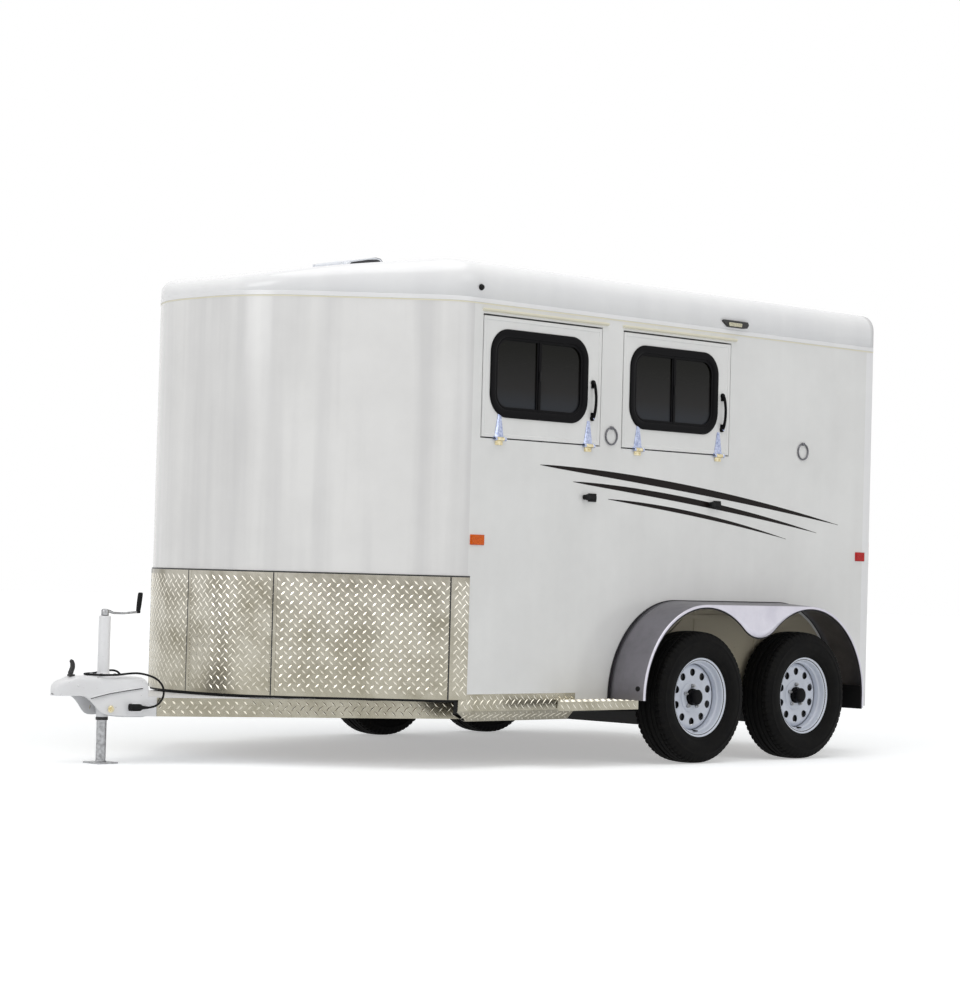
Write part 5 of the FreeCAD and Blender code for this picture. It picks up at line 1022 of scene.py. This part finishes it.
build("coupler_pressing", coupler_shape(), FRAME_WHITE, node="coupler", thick=4, subsurf=1, angle=50)
build("ball_socket_cup", turned(SOCKET, 40, (BALL_X, 0, 0), "z", bore=True), ZINC)
build("coupler_lip", coupler_lip(), FRAME_WHITE)
crease = np.array([(2262, 64.5, 316), (2240, 70, 322), (2180, 90, 338), (2100, 126, 354), (2030, 157, 366)])
rivet = turned([(6, -2), (6, 1.5), (4, 3), (0, 3.5)], 14, (2330, 55, 372))
build("coupler_details", pair(tube(crease, 3.6, 10), rivet), FRAME_WHITE)
build("coupler_shadow_gap", pair(tube(crease + [0, 1.0, -4.6], 1.8, 8)), GASKET_AND_SHADE)
bolt_spot = (2166, 92.5, 262)
bolt = turned([(17, 0), (17, 3), (14, 5)], 24, bolt_spot)
build("coupler_bolts", pair(bolt, hexagon(bolt_spot, 13, 4, 13)), BRASS)
latch_line = [(2340, 414), (2339, 430), (2332, 444), (2327, 458), (2327.5, 472), (2333, 484), (2340, 489)]
latch = join(tube([(x, 0, z) for x, z in latch_line], [10, 11, 12.5, 12, 11.5, 10.5, 7.5], 14),
             slab((2320, -12.5, 414), (2349, 12.5, 424)),
             turned([(8, -12.8), (8, 12.8)], 18, (2337, 0, 432)))
build("latch_lever", latch, FRAME_BLACK, node="coupler_latch", bevel=1.5)


# Jack
def on_jack(profile, count, bore=False):
    """Profile of (radius, height) turned about the jack's axis."""
    return turned(profile, count, (JACK_X, 0, 0), "z", bore)


outer = on_jack([(24.6, 205), (28.5, 205), (28.5, 696), (27, 700), (24.6, 700)], 48, bore=True)
weld = on_jack([(28.4, 423), (33, 423), (31, 427), (28.4, 431)], 40, bore=True)
build("jack_outer_tube", join(outer, weld), FRAME_WHITE, node="jack_tube")
# Square plate with a round bore: both outlines as distances from the axis
across, along, bore_r = np.cos(around(48)), np.sin(around(48)), 28.4
square = 55 / np.maximum(abs(across), abs(along))
levels = [np.column_stack([JACK_X + reach * across, reach * along, np.full(48, COUPLER_TOP + rise)])
          for reach, rise in ((bore_r, 0), (square, 0), (square, 6), (bore_r, 6))]
build("jack_flange_plate", (np.concatenate(levels), strip(4, 48, closed=True, ring=True)), FRAME_WHITE)
flange_bolts = [turned([(8, 0), (8, 4), (6, 5.5)], 6,
                       (JACK_X + 56 * math.cos(turn), 56 * math.sin(turn), COUPLER_TOP + 6), "z")
                for turn in np.radians((45, 135, 225, 315))]
build("jack_flange_bolts", join(*flange_bolts), ZINC)
sleeve = on_jack([(24.6, 206), (29.4, 206), (29.4, 221), (24.6, 221)], 40, bore=True)
build("jack_lower_sleeve", sleeve, FRAME_BLACK)
leg = on_jack([(30, 8), (24, 14), (24, 420)], 40)
foot = slab((JACK_X - 60, -60, 0), (JACK_X + 60, 60, 8))
build("jack_inner_tube", join(leg, foot), ZINC, "jack_foot", node="jack_leg", bevel=1.5)
cap = on_jack([(17, 701), (18.3, 704), (18.3, 726), (15, 732), (8, 734)], 32)
arm_line = ((4, 722), (24, 722), (52, 714), (110, 713), (170, 718), (200, 719))
arm = tube([(JACK_X - back, 0, z) for back, z in arm_line], [8, 8, 6, 5.4, 5.4, 5.6], 14)
stub = on_jack([(7.9, 690), (7.9, 703)], 20)
build("jack_crank_arm", join(cap, arm, stub), ZINC, "jack_handle", node="jack_crank")
points, faces = turned([(9, 0), (11.5, 3), (11.5, 8), (10.5, 12), (11.8, 31), (12.4, 56), (12.4, 86),
                        (11.4, 96), (8, 100)], 28, axis="z")
# The grip leans 7 degrees away from the jack
points[:, 0] -= points[:, 2] * math.tan(math.radians(7))
build("jack_crank_grip", shifted((points, faces), (JACK_X - 196, 0, 714)), RUBBER, "jack_handle")

# Lead to the towing vehicle
LEAD = ((1885, -62, 336), (1920, -62, 336), (1956, -64, 356), (1980, -66, 398), (2012, -70, 438),
        (2074, -80, 437), (2130, -90, 424), (2184.4, -87.8, 422.3), (2235.8, -36.4, 422.3),
        (2235.8, 36.4, 422.3), (2184.4, 87.8, 422.3), (2130, 100, 424), (2086, 120, 431), (2042, 150, 434),
        (1993.4, 200.5, 416), (1959.5, 216.3, 383), (1949.8, 220.9, 339.4), (1964.3, 214.1, 297.5),
        (1997.7, 198.5, 272), (2030.7, 183.1, 272))
route = bpy.data.curves.new("trailer_lead_line", "CURVE")
route.dimensions, route.bevel_depth, route.bevel_resolution = "3D", 0.005, 5
route.resolution_u, route.use_fill_caps = 10, True
spline = route.splines.new("NURBS")
spline.points.add(len(LEAD) - 1)
for spot, corner in zip(spline.points, LEAD):
    spot.co = (corner[0] / 1000, corner[1] / 1000, corner[2] / 1000, 1)
spline.order_u, spline.use_endpoint_u = 3, True
lead = placed("trailer_lead_line", route)
lead.data.materials.append(RUBBER)
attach(lead, ROOT)
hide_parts("trailer_lead")

# Ribbed strain relief over the lead's first 32 mm, on the same quadratic as the curve's first span
share = np.linspace(0, 0.52, 17)[:, None]
gland, first, second = (np.array(spot) for spot in LEAD[:3])
relief_line = gland * (1 - share) ** 2 + first * 2 * share * (1 - share) + (first + second) / 2 * share ** 2
relief_r = np.linspace(9.5, 6.4, 17) - 0.7 * (np.arange(17) % 4 == 3)
build("lead_strain_relief", tube(relief_line, relief_r, 24), RUBBER, angle=50)


def along_plug(profile, count, bore=False):
    """Profile of (radius, distance) turned about the parked plug's line."""
    return lay(turned(profile, count, axis="x", bore=bore), LEAD[-1], tongue_way, tongue_out, Z)


shell = along_plug([(11, 18), (14, 20), (16.8, 26), (16.8, 60), (15.4, 62), (15.4, 66), (16.8, 68),
                    (16.8, 78), (15.8, 80), (12, 80), (12, 74)], 32)
plug = build("lead_plug_shell", shell, RUBBER, node="lead_plug")
boot = along_plug([(5.0, -14), (5.6, -14), (6.4, -10), (6.0, -8), (7.2, -2), (6.8, 0), (8.4, 7), (8.0, 9),
                   (10.5, 18), (5.0, 19)], 24, bore=True)
boot = build("lead_plug_boot", boot, RUBBER)

# Side stripes: three slim strokes that taper at both ends, nested and falling towards the rear
STROKES = (
    # start and end share of the stripes' length, height at the start, fall, widest part
    (0.0, 1.0, 1498, 222, 38),
    (0.10, 0.92, 1424, 198, 32),
    (0.21, 0.81, 1346, 162, 22),
)


def stroke(start, length, row):
    """Curved stroke on the wall, 0.4 mm thick.

    Middle line: height = start - fall * (0.45 s + 0.55 s^2); width = widest * sin(pi * s^0.8)^0.8, never
    under 2 mm.
    """
    first, last, height, fall, widest = row
    share = np.linspace(0, 1, 60)
    line = np.column_stack([start - length * (first + (last - first) * share),
                            height - fall * (0.45 * share + 0.55 * share ** 2)])
    width = np.maximum(widest * np.maximum(np.sin(np.pi * share ** 0.8), 0) ** 0.8, 2)[:, None]
    way = np.gradient(line, axis=0)
    way /= np.linalg.norm(way, axis=1)[:, None]
    normal = np.column_stack([-way[:, 1], way[:, 0]])
    low, high = line - normal * width / 2, line + normal * width / 2
    layers = [np.column_stack([edge[:, 0], np.full(60, HALF + out), edge[:, 1]])
              for edge, out in ((low, 0.1), (high, 0.1), (high, 0.5), (low, 0.5))]
    return capped(np.stack(layers, axis=1).reshape(-1, 3), 60, 4)


# On the right the stripes start behind the dressing room door
left_strokes = join(*(stroke(300, 2400, row) for row in STROKES))
right_strokes = mirror(join(*(stroke(-40, 2060, row) for row in STROKES)))
build("side_stripes", join(left_strokes, right_strokes), DECAL, angle=60)


# Stage: pale floor, white surroundings, soft light from above and in front
def seen_share(tree):
    """1 for what the camera sees directly, in a mirror or through glass, and 0 for all other rays."""
    path = add(tree, "ShaderNodeLightPath")
    share = path.outputs["Is Camera Ray"]
    for name in ("Is Glossy Ray", "Is Transmission Ray"):
        share = add(tree, "ShaderNodeMath", {0: share, 1: path.outputs[name]}, operation="MAXIMUM").outputs[0]
    return share


stage, tree, where = canvas("matt_pale_floor")
away = add(tree, "ShaderNodeVectorMath", {0: where}, operation="LENGTH").outputs["Value"]
# The lamps reach only the middle of the floor, so the rest glows more
share = spread(tree, away, 2.0, 16.0, 0.40, 0.66)
glow = add(tree, "ShaderNodeMath", {0: seen_share(tree), 1: share}, operation="MULTIPLY")
surface(stage, Base_Color=linear("eef0f2"), Roughness=0.9, Specular_IOR_Level=0.2,
        Emission_Color=(1, 1, 1, 1), Emission_Strength=glow.outputs[0])
floor_mesh = bpy.data.meshes.new("floor_sheet")
floor_mesh.from_pydata([(-60, -60, 0), (60, -60, 0), (60, 60, 0), (-60, 60, 0)], [], [(0, 1, 2, 3)])
floor_mesh.materials.append(stage)
floor_sheet = placed("floor_sheet", floor_mesh)

world = bpy.data.worlds.new("surroundings")
bpy.context.scene.world = world
world.use_nodes = True
tree = world.node_tree
tree.nodes.clear()
white_back = add(tree, "ShaderNodeBackground", {"Color": (1, 1, 1, 1), "Strength": 1.0})
soft_sky = add(tree, "ShaderNodeBackground", {"Color": linear("fafaf8"), "Strength": 0.5})
both = add(tree, "ShaderNodeMixShader",
           {"Fac": seen_share(tree), 1: soft_sky.outputs[0], 2: white_back.outputs[0]})
add(tree, "ShaderNodeOutputWorld", {"Surface": both.outputs[0]})


def lamp(name, place, aim, size, power):
    """Square soft white lamp aimed at a point."""
    light = bpy.data.lights.new(name, "AREA")
    light.shape, light.size, light.energy = "SQUARE", size, power
    item = placed(name, light)
    item.location = place
    item.rotation_euler = (Vector(aim) - Vector(place)).to_track_quat("-Z", "Y").to_euler()


# Overhead a broad soft box, then one to each side of the camera
lamp("overhead", (1.0, 2.0, 8.0), (0, 0, 1), 7.0, 245)
lamp("front", (9.5, 1.0, 4.5), (0.8, 0, 1.2), 4.0, 140)
lamp("side", (-3.0, 10.0, 4.5), (-0.6, 0, 1.0), 5.0, 80)

# Camera at the photograph's angle; its focal length is in pixels of the photograph's longer side
CAMERA_PLACE, FOCAL, LONG_SIDE, SENSOR = (9.9733, 10.4338, 0.9460), 2713.93, 1000, 36
YAW, PITCH, ROLL = -2.35031097, 0.0273683929, 0.0274135951
view = bpy.data.cameras.new("photo_view")
view.sensor_width, view.sensor_fit, view.lens = SENSOR, "AUTO", FOCAL / LONG_SIDE * SENSOR
view.clip_end = 300
camera = placed("photo_view", view)
aim = Euler((math.pi / 2 + PITCH, 0, YAW - math.pi / 2)).to_matrix().to_4x4()
camera.matrix_world = Matrix.Translation(CAMERA_PLACE) @ aim @ Matrix.Rotation(ROLL, 4, "Z")
bpy.context.scene.camera = camera
bpy.context.scene.view_settings.view_transform = "Standard"

bpy.context.view_layer.update()
